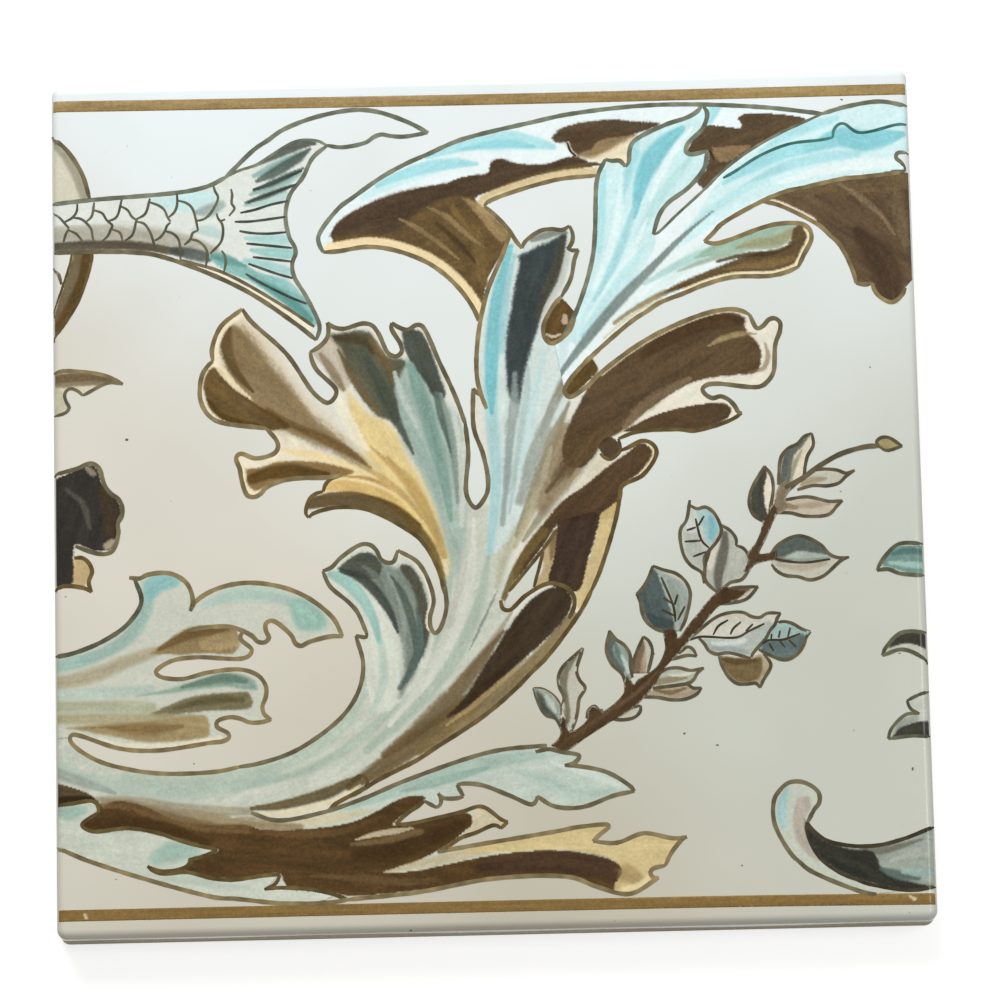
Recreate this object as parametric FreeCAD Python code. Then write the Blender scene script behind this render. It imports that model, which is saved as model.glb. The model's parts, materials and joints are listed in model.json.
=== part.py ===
"""A square, dust-pressed border tile, lying face up.

One fired piece: a flat printed face with rolled arrises and eased corners, plain sides for the joints,
and a keyed back, where a level rim and cross bars stand round drafted channels that grip the bed.
Millimetres, +Z up, origin at the middle of the back.
"""

import FreeCAD, Part

import os

V = FreeCAD.Vector

# Driving dimensions
FACE_WIDTH = 152.4        # along X, the way the border runs
FACE_HEIGHT = 152.4       # along Y, from the lower band to the upper one
THICKNESS = 9.5           # back to face
ARRIS_RADIUS = 1.5        # rolled edge round the face
CORNER_EASE = 0.2         # how much larger the plan corners are than the rolled edge
BACK_CHAMFER = 0.6        # pressed edge round the back
RIM_WIDTH = 11.0          # level border round the key, at the back
BAR_WIDTH = 8.0           # level bars between the channels
BAR_COUNT = 5             # an odd count puts one bar across the middle
KEY_DEPTH = 1.6           # how deep the channels are pressed
KEY_DRAFT = 0.9           # how far a channel's walls lean in over that depth
KEY_CORNER = 4.0          # channel corners at the mouth


def rounded_rectangle(width, height, radius, centre_y, z):
    """Closed wire on the level z, centred on X = 0, with quarter circles at its corners."""
    x, y = width / 2 - radius, height / 2 - radius
    arcs = [
        Part.makeCircle(radius, V(side_x * x, centre_y + side_y * y, z), V(0, 0, 1), turn, turn + 90)
        for side_x, side_y, turn in [(1, 1, 0), (-1, 1, 90), (-1, -1, 180), (1, -1, 270)]
    ]
    edges = []
    for arc, following in zip(arcs, arcs[1:] + arcs[:1]):
        edges.append(arc)
        edges.append(Part.makeLine(arc.lastVertex().Point, following.firstVertex().Point))
    return Part.Wire(edges)


def edges_on_level(shape, z):
    """The edges of shape that lie wholly on the level z."""
    return [
        edge
        for edge in shape.Edges
        if abs(edge.BoundBox.ZMin - z) < 1e-6 and abs(edge.BoundBox.ZMax - z) < 1e-6
    ]


def pressed_blank():
    """The tile before its back is keyed: eased plan corners, rolled face, chamfered back."""
    plan = rounded_rectangle(FACE_WIDTH, FACE_HEIGHT, ARRIS_RADIUS + CORNER_EASE, 0, 0)
    blank = Part.Face(plan).extrude(V(0, 0, THICKNESS))
    blank = blank.makeFillet(ARRIS_RADIUS, edges_on_level(blank, THICKNESS))
    return blank.makeChamfer(BACK_CHAMFER, edges_on_level(blank, 0))


def key_channel(centre_y, width, height):
    """One drafted channel, wide at its mouth on the back and narrower at its floor."""
    corner = min(KEY_CORNER, 0.45 * height)
    floor_corner = max(corner - KEY_DRAFT, 0.25 * corner)
    mouth = rounded_rectangle(width, height, corner, centre_y, 0)
    floor = rounded_rectangle(
        width - 2 * KEY_DRAFT, height - 2 * KEY_DRAFT, floor_corner, centre_y, KEY_DEPTH
    )
    return Part.makeLoft([mouth, floor], True, True)


def border_tile():
    """The whole tile, as one solid."""
    channel_count = BAR_COUNT + 1
    field_width = FACE_WIDTH - 2 * RIM_WIDTH
    field_height = FACE_HEIGHT - 2 * RIM_WIDTH
    channel_height = (field_height - BAR_COUNT * BAR_WIDTH) / channel_count
    pitch = channel_height + BAR_WIDTH
    lowest = -(channel_count - 1) / 2 * pitch
    channels = [
        key_channel(lowest + place * pitch, field_width, channel_height)
        for place in range(channel_count)
    ]
    return pressed_blank().cut(Part.makeCompound(channels))


os.makedirs("parts", exist_ok=True)
tile = border_tile()
assert tile.isValid() and len(tile.Solids) == 1, "the tile has to be one sound solid"
tile.Solids[0].exportStep("parts/border_tile.step")
print(f"border_tile: {tile.Volume / 1000:.1f} cm3, box {tile.BoundBox}")
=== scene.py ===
"""A glazed border tile: its biscuit, glaze, gold bands, tinted enamels and printed outlines.

All drawing data is in millimetres on the face, x to the right and y up, with 0, 0 at the tile's middle.
"""
import json
import math

import bmesh
import bpy
import numpy as np
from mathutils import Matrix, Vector
from mathutils.geometry import delaunay_2d_cdt

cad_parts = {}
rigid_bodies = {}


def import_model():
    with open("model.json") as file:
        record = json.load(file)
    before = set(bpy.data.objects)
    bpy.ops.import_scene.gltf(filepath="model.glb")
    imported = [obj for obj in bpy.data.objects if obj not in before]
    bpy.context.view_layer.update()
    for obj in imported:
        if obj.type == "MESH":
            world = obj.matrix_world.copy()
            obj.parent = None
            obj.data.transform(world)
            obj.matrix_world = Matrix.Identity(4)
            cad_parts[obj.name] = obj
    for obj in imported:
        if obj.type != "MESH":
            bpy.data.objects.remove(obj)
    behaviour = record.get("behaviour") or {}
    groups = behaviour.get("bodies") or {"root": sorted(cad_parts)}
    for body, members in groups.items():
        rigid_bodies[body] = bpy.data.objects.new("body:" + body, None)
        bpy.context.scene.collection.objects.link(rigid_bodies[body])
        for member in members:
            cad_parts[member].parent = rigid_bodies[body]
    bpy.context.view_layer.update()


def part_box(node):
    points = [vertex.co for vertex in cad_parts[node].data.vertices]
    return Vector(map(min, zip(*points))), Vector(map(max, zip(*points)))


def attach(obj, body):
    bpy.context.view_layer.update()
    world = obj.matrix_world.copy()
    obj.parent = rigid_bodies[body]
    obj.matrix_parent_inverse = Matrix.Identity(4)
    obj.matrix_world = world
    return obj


bl_info = {
    "name": "Border tile dressing",
    "version": (1, 0, 0),
    "blender": (4, 5, 0),
    "location": "View3D > Sidebar > Tile",
    "description": "Glaze, bands, enamels and printed outlines of a pressed border tile",
    "category": "Object",
}

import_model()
TILE_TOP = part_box("border_tile")[1]

MM = 0.001
HALF = TILE_TOP[0] / MM
FACE = TILE_TOP[2] / MM
ARRIS_RADIUS = 1.5
CORNER_EASE = 0.2
EDGE_REACH = HALF - 0.3

# Steps along lines and strokes, and the least gaps between the points of a loop and of a printed run
LINE_STEP = 0.4
STROKE_STEP = 0.35
LOOP_GAP = 0.05
RUN_GAP = 0.02

# Sheets: the mode that keeps only what lies inside a loop, and the gaps below which points are joined
KEEP_INSIDE = 1
SHEET_JOIN = 1e-5
RIM_JOIN = 1e-6
ROW_RISE = math.sqrt(0.75)

# Least values that something is divided by
LEAST_GAP = 1e-6
LEAST_SPAN = 1e-9
LEAST_COVER = 1e-4

# Brush hairs: rate across, rate along and weight of each; then what hair and grain do to tones and edges
HAIR = ((0.8, 0.14, 0.5), (2, 0.3, 0.4), (4, 1.2, 0.35))
HAIR_TONE = 0.5
GRAIN_TONE = 0.25
STROKE_HAIR = 3
PATCH_HAIR = 0.7
EDGE_SCATTER = 0.3

# The fixed scatter: its rates and spread, and the step between seeds; then points worked on at a time
SCATTER_RATES = np.array([12.9898, 78.233])
SCATTER_SPREAD = 43758.5453
SEED_STEP = 7
CHUNK = 10000

# Waves of the printed width and ink, and of the glaze's hem: size, rate and shift of each
WIDTH_WAVES = ((0.05, 1.3, 1), (0.03, 3.1, 2))
INK_WAVES = ((0.10, 0.45, 1.7), (0.06, 1.9, 1))
HEM_WAVES = ((0.35, 0.83, 0), (0.3, 0.31, 1))
END_WIDTH = 0.72
END_REACH = 1.2

# Counts of points on a side, a corner and the rolled edge of the glaze
SIDE_COUNT = 24
TURN_COUNT = 6
ROLL_COUNT = 9

# Least rise of an upward face's normal, and the strips of the map
UPWARD = 0.1
MAP_STRIP = 0.03
HIDDEN_STRIP = 0.02

# Relief of the finishes: its depth in metres, and the strength of each
RELIEF_DEPTH = 0.0002
GLAZE_RELIEF = 0.04
PRINT_RELIEF = 0.03
BISCUIT_RELIEF = 0.25

# Refraction and sheen of the glaze, and roughness of the biscuit
GLAZE_IOR = 1.5
GLAZE_SHEEN = 0.15
BISCUIT_ROUGHNESS = 0.85

# The range of its grain over which the biscuit turns dark
BISCUIT_DARK = (0.35, 0.65)

# Painted light and shade on the bare glaze, a painted cool light and reflection towards the top, painted
# shade to the lower right and painted warm light to the lower left: where each one starts and ends on its
# way, in halves of the face
PAINTED_TOP_LIGHT_SPAN = (-0.35, 1)
PAINTED_SHADE_SPAN = (-0.3, 0.9)
PAINTED_WARM_LIGHT_SPAN = (0, 0.6)

# Noise in the finishes: scale and detail, then, for those carried over, from which range to which
GLAZE_CLOUDS = (22, 3, 0.35, 0.7, 0, 1)
GLAZE_SPECKS = (900, 0, 0.88, 0.92, 0, 1)
GLAZE_ROUGHNESS = (60, 2, 0.3, 0.7, 0.10, 0.17)
GLAZE_FLOW = (130, 2)
ENAMEL_GRAIN = (1500, 2, 0.25, 0.75, 0.94, 1.04)
ENAMEL_CLOUDS = (260, 4, 0.3, 0.7, 0.96, 1.03)
INK_BREAKS = (700, 3, 0.25, 0.75, 0.85, 1.2)
BISCUIT_GRAIN = (1200, 3)
BISCUIT_DUST = (35, 5, 0.45, 0.75, 0, 0.45)

# Stage, in metres and degrees; each lamp has a name, a place, a size, a power and a colour
FLOOR_HALF = 3.0
FLOOR_GLOW = 0.72
FLOOR_COLOUR = (0.4, 0.4, 0.4, 1.0)
GLOW_COLOUR = (1.0, 1.0, 1.0, 1.0)
SKY_COLOUR = (1.0, 0.99, 0.97, 1.0)
SKY_LEVEL = 0.3
CAMERA_PLACE = (0.0014, -0.1885, 0.9638)
CAMERA_TURN = (11.136, 0.207, -1.266)
CAMERA_LENS = 199.47
SENSOR_WIDTH = 36.0
LAMPS = (
    ("key_softbox", (-0.3, 1.0, 0.95), 0.8, 16.4, (1.0, 1.0, 0.99)),
    ("side_softbox", (0.55, 0.0, 0.9), 0.35, 3.8, (1.0, 0.99, 0.97)),
)

# Inks of the printed lines
INKS = {
    "gold": "#7D6F50",
    "olive": "#69614A",
    "sage": "#6E7262",
    "umber": "#5E4F30",
    "dark": "#40392A",
    "teal": "#3F6B66",
    "twig": "#5A523F",
    "scale": "#5A5A48",
    "ray": "#3F4A44",
}

# Printed lines: ink, width, then runs of points; a run starts where the one before it ended, at a corner
LINES = {
    "fish.back": ("sage", .8, "-76.3,54.6 -70,55.2 -52,56.5 -48,57.5 -45.3,58.9"),
    "fish.streamer_top": ("sage", .8,
        "-45.3,58.9 -40,64 -37.7,65.5 -35.3,67.2 -29.7,69.4 -22.5,70.7 -18.3,70.3 -12.7,68.2 -9.2,66.2"),
    "fish.streamer_low": ("sage", .75,
        "-9.4,66.2 -13.7,65.6 -16,65.8 -17.5,66.1 -18.8,65.7 -20.3,64.7 -24.7,63.9 -27.2,64.3"),
    "fish.fin_top": ("sage", .5, "-45.3,58.9 -43,60 -40,61 -32.7,65.2 -29,65.2 -27.2,64.3"),
    "fish.fin_edge": ("sage", .75,
        "-27.2,64.3 -29.8,62.1 -31.6,58.6 -33.9,55.5 -34.8,51.6 -34.1,47.5 -33.3,46 -33.1,44.7 -33.7,43 "
        "-33.5,40.7 -31.3,36.7 -29.2,32 -29.1,30.7 -29.7,28.9"),
    "fish.belly": ("olive", .8, "-29.7,28.9 -33,31.7 -42.7,38.5 -57,44.7 -62.7,45.6 -76.3,45.8"),
    "fish.inner": ("olive", .6, "-30,31.3 -34.7,34.7 -46,41.5 -53.7,44"),
    "frond.top": ("sage", .8,
        "-28.2,44.8 -28.8,46 -29,47.7 -25.3,52.8 -23,54.5 -17.7,58.2 -13.3,60.6 -9.3,62.3 -3.7,64.7 "
        "9.7,67.8 16.3,69.1 31.7,70.4 49.7,69.6 61,68.1"),
    "frond.tip_top": ("sage", .8, "61,68.1 65.3,69.3 71.3,70.1 76.3,69.1"),
    "frond.under_tip": ("sage", .5, "61,68.1 53,64.5 48,61.7 43,58 39.7,54.8 34.7,50.3 31,46.9 30.3,46.7"),
    "frond.gap": ("sage", .8, "30.3,46.7 31.5,50.3 33,52.3 37,55.3 39.7,58.7 40.3,61.7"),
    "frond.nose": ("sage", .8, "40.3,61.7 37.2,61.2 36.5,61.7 36.8,63 39.7,66 40.5,68.7 39.9,69.9"),
    "frond.crown": ("sage", .8,
        "39.5,69.9 38.7,69 37,68 33,66.7 27.2,63.7 26.5,62 26.3,60 25.7,59.2",
        "24.7,60.3 23.3,60.3 22.2,60.6",
        "21,58.3 20.5,56.3 19.5,43 16.2,32.7 13.7,28.1"),
    "frond.under": ("gold", .75, "20.4,57.7 13,57 1,53.2 .5,52.5", "1.7,51.5 4.7,48.2 6,46 7,44.7"),
    "frond.keel": ("gold", .8,
        "-28.2,44.8 -25.7,44.9 -20.3,45.6 -15.3,44.8 -9,42 -4.3,37.7 -1.5,33.3 -1,31.7"),
    "frond.wave": ("teal", .55,
        "43,56.7 45,57.8 49.7,60.7 55,62.7 60.7,63.3 62.7,63.7",
        "62.9,65 63.7,66 64.7,66.2 67.3,64.5 74.3,65.8 76.3,65.8"),
    "frond.hem": ("gold", .8,
        "74.3,57 68.3,56.4 64.3,56.1 57,54.6 54,54 49.7,52.3 42.3,48.2 41,46.8 39.3,45.2"),
    "frond.hook": ("sage", .7, "74.3,57 75.2,57.5 74.8,58.7 73.8,59.7 74,60.5 75,60.7 76.3,60.2"),
    "frond.lobe": ("gold", .8,
        "39.3,45.2 41.3,44.8 51.7,48 56.7,48 58,47 58.3,45.3 56.8,42.3 55.8,40.2",
        "53.3,39.2 50.7,38.7 44,38.6 38.7,37.2 36,36.1 31,34.2 28.7,32.7 26.3,31.2 16,22 13.9,18.7 "
        "14.7,17.6 18,19.5 20,21.5 28.7,27.7 39,32.1 43.7,32.8 45.7,32.4 46.9,31.7"),
    "frond.right_leaf": ("gold", .75,
        "50,52.2 52.3,51.7 59.7,47.7 61.7,45.7 63.3,44 65.5,39 65.9,37",
        "67.7,36.7 68.7,37",
        "69.2,35.5 70.3,34.2 72.2,33.4 74,34.7 74.6,36"),
    "scroll.lobe_a_left": ("gold", .8,
        "-42.7,34.8 -46.5,31.7 -48.1,27.7 -48,25.5",
        "-49,24.5 -50,22.7 -50.2,18.3 -48,15 -38.7,13.1"),
    "scroll.lobe_a_right": ("olive", .8,
        "-42.7,34.8 -41.3,32.7 -35,26.5 -30,19 -27.8,17.5 -26.7,18.3 -26.3,19.7 -29.7,23.5 -30.5,25.2 "
        "-30.8,26.7",
        "-29,27.8 -27.8,29.2 -27.5,30.7 -27.7,32",
        "-26.7,31.2 -25,30.8 -21.3,31.7 -19.8,31.3 -18.7,29.8 -17,26.2 -15.7,25.6 -14.7,26.3 -14.8,27.7 "
        "-16.4,30.7 -16.3,31.7",
        "-15,30.8 -13.5,30.4 -12,31.2 -11,31 -8,24.3 -5.3,18 -3.7,13.2"),
    "scroll.tall_left": ("gold", .8, "5,47.7 3.7,44 .7,37 -1.1,29 -1.5,22 -.9,18.7 .1,15.8"),
    "scroll.tall_top": ("olive", .75,
        "7,44.7 7.5,45.8 10.3,47.8 12.3,48.1 14.3,47.9 15.5,48.6",
        "16,47.3 16,46 15.5,44.9 15,44.5",
        "16,44.1 17,44.2",
        "16.3,42.7 15.5,39 13.8,35.8"),
    "scroll.drop": ("gold", .75,
        "13.8,35.8 12.7,34.7 10.5,30.7 10.5,28.7 11.3,27.5 12.3,27.4 15,29.5 16.2,32.7"),
    "scroll.lobe_e": ("gold", .8,
        "-38.7,13.1 -37,11 -36.7,9.8 -37.3,8.7 -40.7,7.8 -43.2,8.7 -43.9,8.4 -44.1,7.7 -43.5,6 -43.2,4 "
        "-42.2,1.2 -41,.9 -39.8,1.5 -39,2.5 -35,3.9 -28.3,4.1 -25.7,4.4"),
    "scroll.lobe_f": ("umber", .7,
        "-25.7,4.4 -27.5,3.8 -28.5,2.8 -28.9,1.6",
        "-30.3,1.2 -31.3,.3 -32,-2.3 -31.5,-3",
        "-30.7,-2.3 -26.3,-1.3 -21,-1.9 -13,-6.5 -11.3,-8.3 -9,-12.7 -8,-17"),
    "scroll.gap": ("olive", .8,
        "-3.7,13.2 -3.3,8 -3.7,.3 -2.2,-1.9 -.3,.3 .1,2.7 -.7,7.7 -2.2,12.3 -2.2,19.5",
        "-1.3,18.5 -.9,18.3"),
    "scroll.lobe_g": ("olive", .8,
        "46.9,31.7 48.2,29.2 49.3,29.7 50.2,30.7 51.2,31 52.2,30.3 52.2,28.8 51.3,26.3 50.8,21.3 "
        "49.8,19.7 48.3,18.7 40.7,19.4 39,19.2 38.2,18.5 38.7,17.5 40,16.8 41.3,17.1 42.7,16.5 43.8,15.3 "
        "44.4,14.2 45,14"),
    "scroll.lobe_h": ("umber", .7, "45,14 43,12.8 36.7,11 33.7,11.3 26.3,11 23.2,9.9"),
    "scroll.ball": ("umber", .6, "23.2,9.9 23.4,7.7 21.6,6.2 20.5,6.6 19.9,7.3"),
    "scroll.lobe_i": ("umber", .75,
        "23.4,7.7 24.7,8.2 27.3,9.4 28.7,9.1 29.7,8 29.7,6.7 27.3,3.3 23.5,1.3 23.2,-.3 22.2,-5 19.2,-14 "
        "17.8,-17"),
    "scroll.stalk_low": ("umber", .6, "12,-6 9.7,-9.3 3.3,-17"),
    "scroll.stalk_gap": ("umber", .6, "9.5,-10 7.7,-16.3"),
    "scroll.side_leaf": ("olive", .75,
        "-29.2,-12.6 -27.7,-12 -26,-10.3 -22.3,-8 -20.7,-8.2 -19.7,-9.2 -19,-10.7 -17.8,-11.4 -16.8,-11.2 "
        "-16,-9.2",
        "-12.3,-11.7 -9.9,-18 -10.6,-21.3 -10.5,-23 -9.8,-24.1 -9,-23.5 -7.7,-19.7 -8,-15"),
    "scroll.stem_left": ("olive", .75,
        "-29.2,-12.6 -28,-15.3 -24.7,-18.3 -23.3,-20 -21.7,-23.8",
        "-21.8,-24.5 -23.6,-24.2",
        "-22.4,-29.3 -23.3,-34 -26.3,-38.5 -34.3,-44.2 -41,-46.4 -44.3,-46.9"),
    "scroll.stem_right": ("umber", .75,
        "17.8,-17 15.8,-20.7 9.7,-28.7 7,-31.3 4,-34.3 -1.7,-39 -10.7,-44.7 -13,-46.2 -20.3,-49.8 "
        "-22.3,-51 -27.7,-53.8 -28.7,-54.7"),
    "scroll.dark_leaf": ("umber", .75,
        "1.8,-18.5 2.2,-20 3.3,-20.3 6.3,-17.7 10.3,-15.7 13,-16.3 14.5,-17.8 14.7,-19.7 13.7,-22"),
    "left_leaf.lobes": ("gold", .8,
        "-63.1,-13 -61.3,-13.2 -60,-12.6 -56,-12.4 -53,-14.3 -52,-17.5 -52.5,-19.2",
        "-51.5,-17.5 -47.7,-15.3 -41.7,-14.4 -33.7,-16.3 -27.7,-20.8 -25.9,-24.3",
        "-27.7,-24.2 -31.7,-25.1 -33.3,-25.8 -34.2,-25.3 -34.8,-24 -37.5,-21.5 -38.5,-21.2 -39.3,-21.7 "
        "-39.3,-23 -38.8,-24.2 -39.5,-25 -40.7,-24.9 -41.8,-23.8 -45.3,-22.2 -50.3,-22.2 -53,-22.7"),
    "left_leaf.shoulder": ("scale", .8,
        "-62.2,-13.2 -61,-16.7 -61.3,-18.3 -63.7,-21.5 -68,-24.3 -73.3,-26.3 -76.3,-26.8"),
    "left_leaf.fingers": ("gold", .75,
        "-43.3,-22.9 -43.8,-24.2 -41.8,-26.3 -42.3,-27.3 -43.7,-27.8 -51.7,-27.4 -56,-28 -58.6,-29.8 "
        "-58,-30.6 -54.3,-31.2 -49.3,-30.1 -44.3,-29.7 -42,-30.2 -40.3,-31.3 -39.4,-33 -39.5,-34.7 "
        "-40.1,-36.3 -39.8,-37.7 -38.6,-38.7",
        "-40.3,-39.1 -42.3,-39.1 -44,-38.4 -45.7,-38.1 -48,-38.8 -48.1,-39.7 -46.1,-41 -46,-41.7 "
        "-47,-42.3 -49,-42.5 -58.7,-43.7 -65,-43.2 -73.3,-40.6 -73.7,-41.3 -73,-42.5 -69,-45.2 -63,-47 "
        "-57,-47.8 -48,-47.6 -44.3,-46.9"),
    "lower.pale_top": ("olive", .75,
        "-42.3,-55 -38,-56.4 -30.3,-55.3 -23,-53 -15.3,-49.9 -.3,-45.2 9.3,-44.3"),
    "lower.pale_tip": ("olive", .75,
        "7.3,-45.4 9.7,-45 11.7,-45.5 14.9,-46.3 14,-47.5 12.3,-47.9",
        "14.7,-48.1 19.7,-49.3 23.7,-51.9 24.3,-52.7",
        "21,-53.3 15,-55.3 10.3,-55 7.4,-53.2",
        "7.2,-54 6.5,-54.6 2.7,-53 -2.3,-51 -5.5,-50.7 -6.5,-50.9",
        "-5.4,-52.9",
        "-6.3,-53.2 -9,-53.1 -9.8,-52.3",
        "-9.3,-53.3 -9.5,-54.3 -10.1,-54.8",
        "-12.2,-53.6"),
    "lower.brown_tip": ("umber", .7,
        "-12.2,-53.6 -13.3,-54.5 -14.7,-55.3 -17.3,-57.5",
        "-15.7,-57.6 -6,-55.7 -2.3,-54.8 1.2,-57.2 2.2,-57.6",
        ".9,-58.7",
        ".7,-58.4 -.2,-58.1 -3.3,-59.3 -6,-60.2 -8.8,-62 -10.1,-62.6"),
    "lower.ochre": ("gold", .75,
        "-10.1,-62.6 -8.7,-62.3 11.3,-59.3 14,-58.8 19.7,-58.5 19.9,-58.8",
        "17.8,-60.4 16.9,-61.3",
        "20.2,-61.7 21.7,-61.5 25.7,-60.1 31,-61.1 33.2,-60.9",
        "32.5,-61.2 30.5,-63.5 29.3,-65.8",
        "27.2,-66.3 26.7,-66.9 27,-67.7 28.1,-67.9",
        "23,-70.6 17.3,-69.2 13,-67.5 -.3,-67.4 -13.7,-69.5 -25.7,-70.5"),
    "lower.brown_low": ("umber", .7,
        "-25.7,-70.5 -29.3,-69.2 -33.7,-68.4 -38.7,-68.2 -40.2,-68.4",
        "-38.7,-67.8 -37.8,-66.8 -37.5,-65.9",
        "-40.3,-66 -45,-66.6 -48.7,-66.4 -53.7,-65.1 -57.7,-65.3 -59.3,-64.8 -60.4,-63.9",
        "-59,-64.6 -57.3,-64.9 -54,-64.3 -52.7,-63.4 -53.3,-62.9",
        "-51.3,-62.6 -48.3,-61.4",
        "-49.3,-61 -51.7,-60.5 -55.7,-59.2 -57.7,-58.4 -63.7,-57.2 -70,-57.6 -71.7,-56.5 -68.8,-54.3",
        "-68.9,-53.2 -69.3,-52.6 -70.3,-52.3 -74.3,-52.8 -76.3,-52.9"),
    "lower.long_curve": ("gold", .75,
        "-76.3,-60.2 -70,-63 -48.7,-69.6 -45.3,-69.9 -37,-70.9 -28.5,-70.9 -25.7,-70.5"),
    "lower.hook": ("umber", .6, "-24.8,-49.8 -23.2,-48.9 -22.3,-49.3 -22,-50.2 -23,-51.5 -25.7,-52.8"),
    "curl.rim": ("olive", .75,
        "65.7,-71.6 63.7,-71.3 54.3,-67.2 52.7,-65.8 51.2,-64.3 48.5,-59 48.4,-55.3 49,-53.8 51.2,-51.8 "
        "54,-51.9 56.3,-53.7 56.3,-55.5 55.5,-56.5 54.2,-58.8"),
    "curl.stem_top": ("dark", .7,
        "54.2,-58.8 54.7,-59.8 57.3,-62 61.7,-63.1 66.3,-63.1 70.7,-62.1 76.3,-60"),
    "curl.stem_low": ("dark", .6,
        "54.2,-58.8 54,-59.5 54.7,-62.7 56.7,-65.7 60.3,-68.2 62.3,-69 64.3,-69.8 71.7,-71.1 76.3,-70.5"),
    "edges.half_leaf": ("olive", .8, "-76.3,67.1 -73.3,64.2 -70.8,60 -69.5,55.5"),
    "edges.curl_out": ("umber", .5, "-69.1,45.8 -69.2,44.3 -71.7,36.7 -76.3,29.6"),
    "edges.curl_in": ("umber", .4, "-72.7,45.8 -73.1,43.7 -76.3,34"),
    "edges.curl_bit": ("olive", .6, "-76.3,43.1 -75.2,42 -74.6,40"),
    "edges.tip_top": ("gold", .7, "-76.3,23.8 -74.3,24.3 -67,23.3 -63.9,21.7"),
    "edges.tip_low": ("olive", .6,
        "-63.9,21.7 -66.3,22 -71,19.8",
        "-71.7,20.5 -73,21.1 -73.8,20.8 -74.2,19.8 -73.8,18.5 -73.4,17.7 -74,16.8 -76.3,16.1"),
    "edges.blob": ("olive", .75,
        "-76.3,5.2 -75.3,5.8 -72,6.7 -69.7,7.6 -68.3,6.8 -67.3,3.7 -66.3,2.2 -64.8,1 -64.2,-.3 -64.3,-2 "
        "-65,-3.3 -64.9,-5 -66,-8.2 -67.3,-8.7 -69,-8.5 -72.5,-7.2"),
    "edges.tab": ("umber", .75,
        "-72.7,-9.3 -71.3,-9.3 -70.2,-10.2 -69.6,-11.7 -70.2,-13.7 -69.7,-15.4",
        "-71,-14.7 -74.7,-14.3 -76.3,-15.2"),
    "edges.teal_leaf": ("scale", .7,
        "76.3,-10.2 73,-9.9 71.3,-10.3 68.7,-13 67.8,-14.7",
        "69.7,-14.5 71.7,-15.3 76.3,-15.8"),
    "edges.dark_leaf": ("scale", .7,
        "76.3,-26 73,-25.6 71.3,-26 68.8,-28.5 68.2,-29.8",
        "71.7,-28.8 74.7,-30 76.3,-31.5"),
    "edges.leaf_tips": ("scale", .6,
        "76.3,-36.2 74,-37 72.2,-37.9",
        "72.8,-39.3 74.3,-40.2",
        "72,-40.3 69.3,-42.8 68.7,-44.5",
        "73,-44.1 76.3,-44.3"),
    "sprig.bud": ("twig", .6, "69,7.4 68.5,8.2 69.3,9 70.7,9 73,7.4", "70.2,6.7 69,7.4"),
    "sprig.leaf_1": ("twig", .6,
        "51,1 51.7,6 53,7.5 54.7,8.3 55.8,9.5 57.2,10.1",
        "57.4,8 56.3,6 55.8,4 55.5,2.3 54,1 52,-.7"),
    "sprig.leaf_2": ("twig", .6, "48,-5.5 46.5,-4.3 45.8,-2.3 46.2,0 48.7,4.4", "49.8,2.7 50.1,.3 49.3,-4"),
    "sprig.leaf_3": ("twig", .6,
        "55.8,2.5 57.7,3.5 61.3,3.4 63,2.8 64.5,3.3",
        "63,2.3 61.7,1.1 59.7,.6 57,.7 54.3,0"),
    "sprig.leaf_4": ("twig", .6,
        "51.8,-1.8 56,-1.3 60,-2.2 62.2,-2.1",
        "61.2,-3 59.7,-4.5 55.3,-4.7 53,-4.1 50.2,-4"),
    "sprig.leaf_5": ("twig", .6,
        "49.3,-11.3 50.7,-9.7 54.3,-8.2 58,-9.8 59.7,-11.7 61.3,-12.3 63,-12.2",
        "61.7,-12.7 58.3,-15.5 56,-16.1 54,-15.5 51.7,-15.2 50.2,-14.3 49.4,-13.2"),
    "sprig.leaf_6": ("twig", .6,
        "35.4,-1.4 34.7,-5 33.6,-6.7 34,-11 35.2,-13 37.2,-14.5 37.5,-16.3",
        "37.7,-13.7 37.7,-11.7 40,-8.8 40.8,-7 39.5,-3.7 38,-2.7 36.7,-3 35.3,-2.3"),
    "sprig.leaf_7": ("twig", .6,
        "40.8,-6 42.3,-7 43.3,-8.5 43.3,-9.7",
        "44.5,-10.2 45.3,-11.3 45.8,-13",
        "45,-14.7 44,-15.8 42,-16.3 40.8,-17.3 39.7,-18",
        "37.7,-15.7 37.8,-13 38.7,-10.4"),
    "sprig.leaf_8": ("twig", .6, "40.7,-17.7 43,-17.2 46.9,-17.1", "44.7,-19.3 40.3,-20.1"),
    "sprig.leaf_9": ("twig", .6,
        "30.3,-24.8 29,-24.3 27.3,-23 26.5,-21.3 26.2,-19.3 25.6,-17.9",
        "26.3,-17.3 27.7,-15.3 28.6,-13",
        "30.3,-13.7 32.7,-14.5 34.3,-16 35,-18 34,-22.7 33,-24.7"),
    "sprig.leaf_10": ("twig", .6,
        "23.2,-33.7 22.7,-32 21,-30.3 20.1,-28 20.7,-24.3",
        "21.7,-25.8 23.3,-27 24.2,-28.7 24.2,-30.7 24.5,-32.7"),
    "sprig.leaf_11": ("twig", .6, "24.5,-32 24.8,-29.7 26.6,-25.5", "27.5,-26.3 28.1,-28 27.2,-32"),
    "sprig.leaf_12": ("twig", .6,
        "28.7,-32.3 30.7,-31.3 32.7,-31.2 34.7,-31.7 37,-31.3",
        "36,-32 34.7,-33.7 28,-34.7"),
    "sprig.leaf_13": ("twig", .6,
        "28,-34.7 31.7,-34.3 34,-34.1 35,-34.8 36.5,-34.8",
        "35.7,-35.8 33.7,-36.7 31.3,-36.8 28.7,-36.3 26,-36.2"),
    "sprig.leaf_14": ("twig", .6, "16.3,-39.7 16.8,-38.2 17.8,-37.6 18.5,-38.3 19.2,-38.3"),
    "sprig.leaf_15": ("twig", .6, "23,-38.2 25.8,-37.7", "25.7,-38.7 24.7,-39.7 23,-40.1 20.7,-40"),
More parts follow.
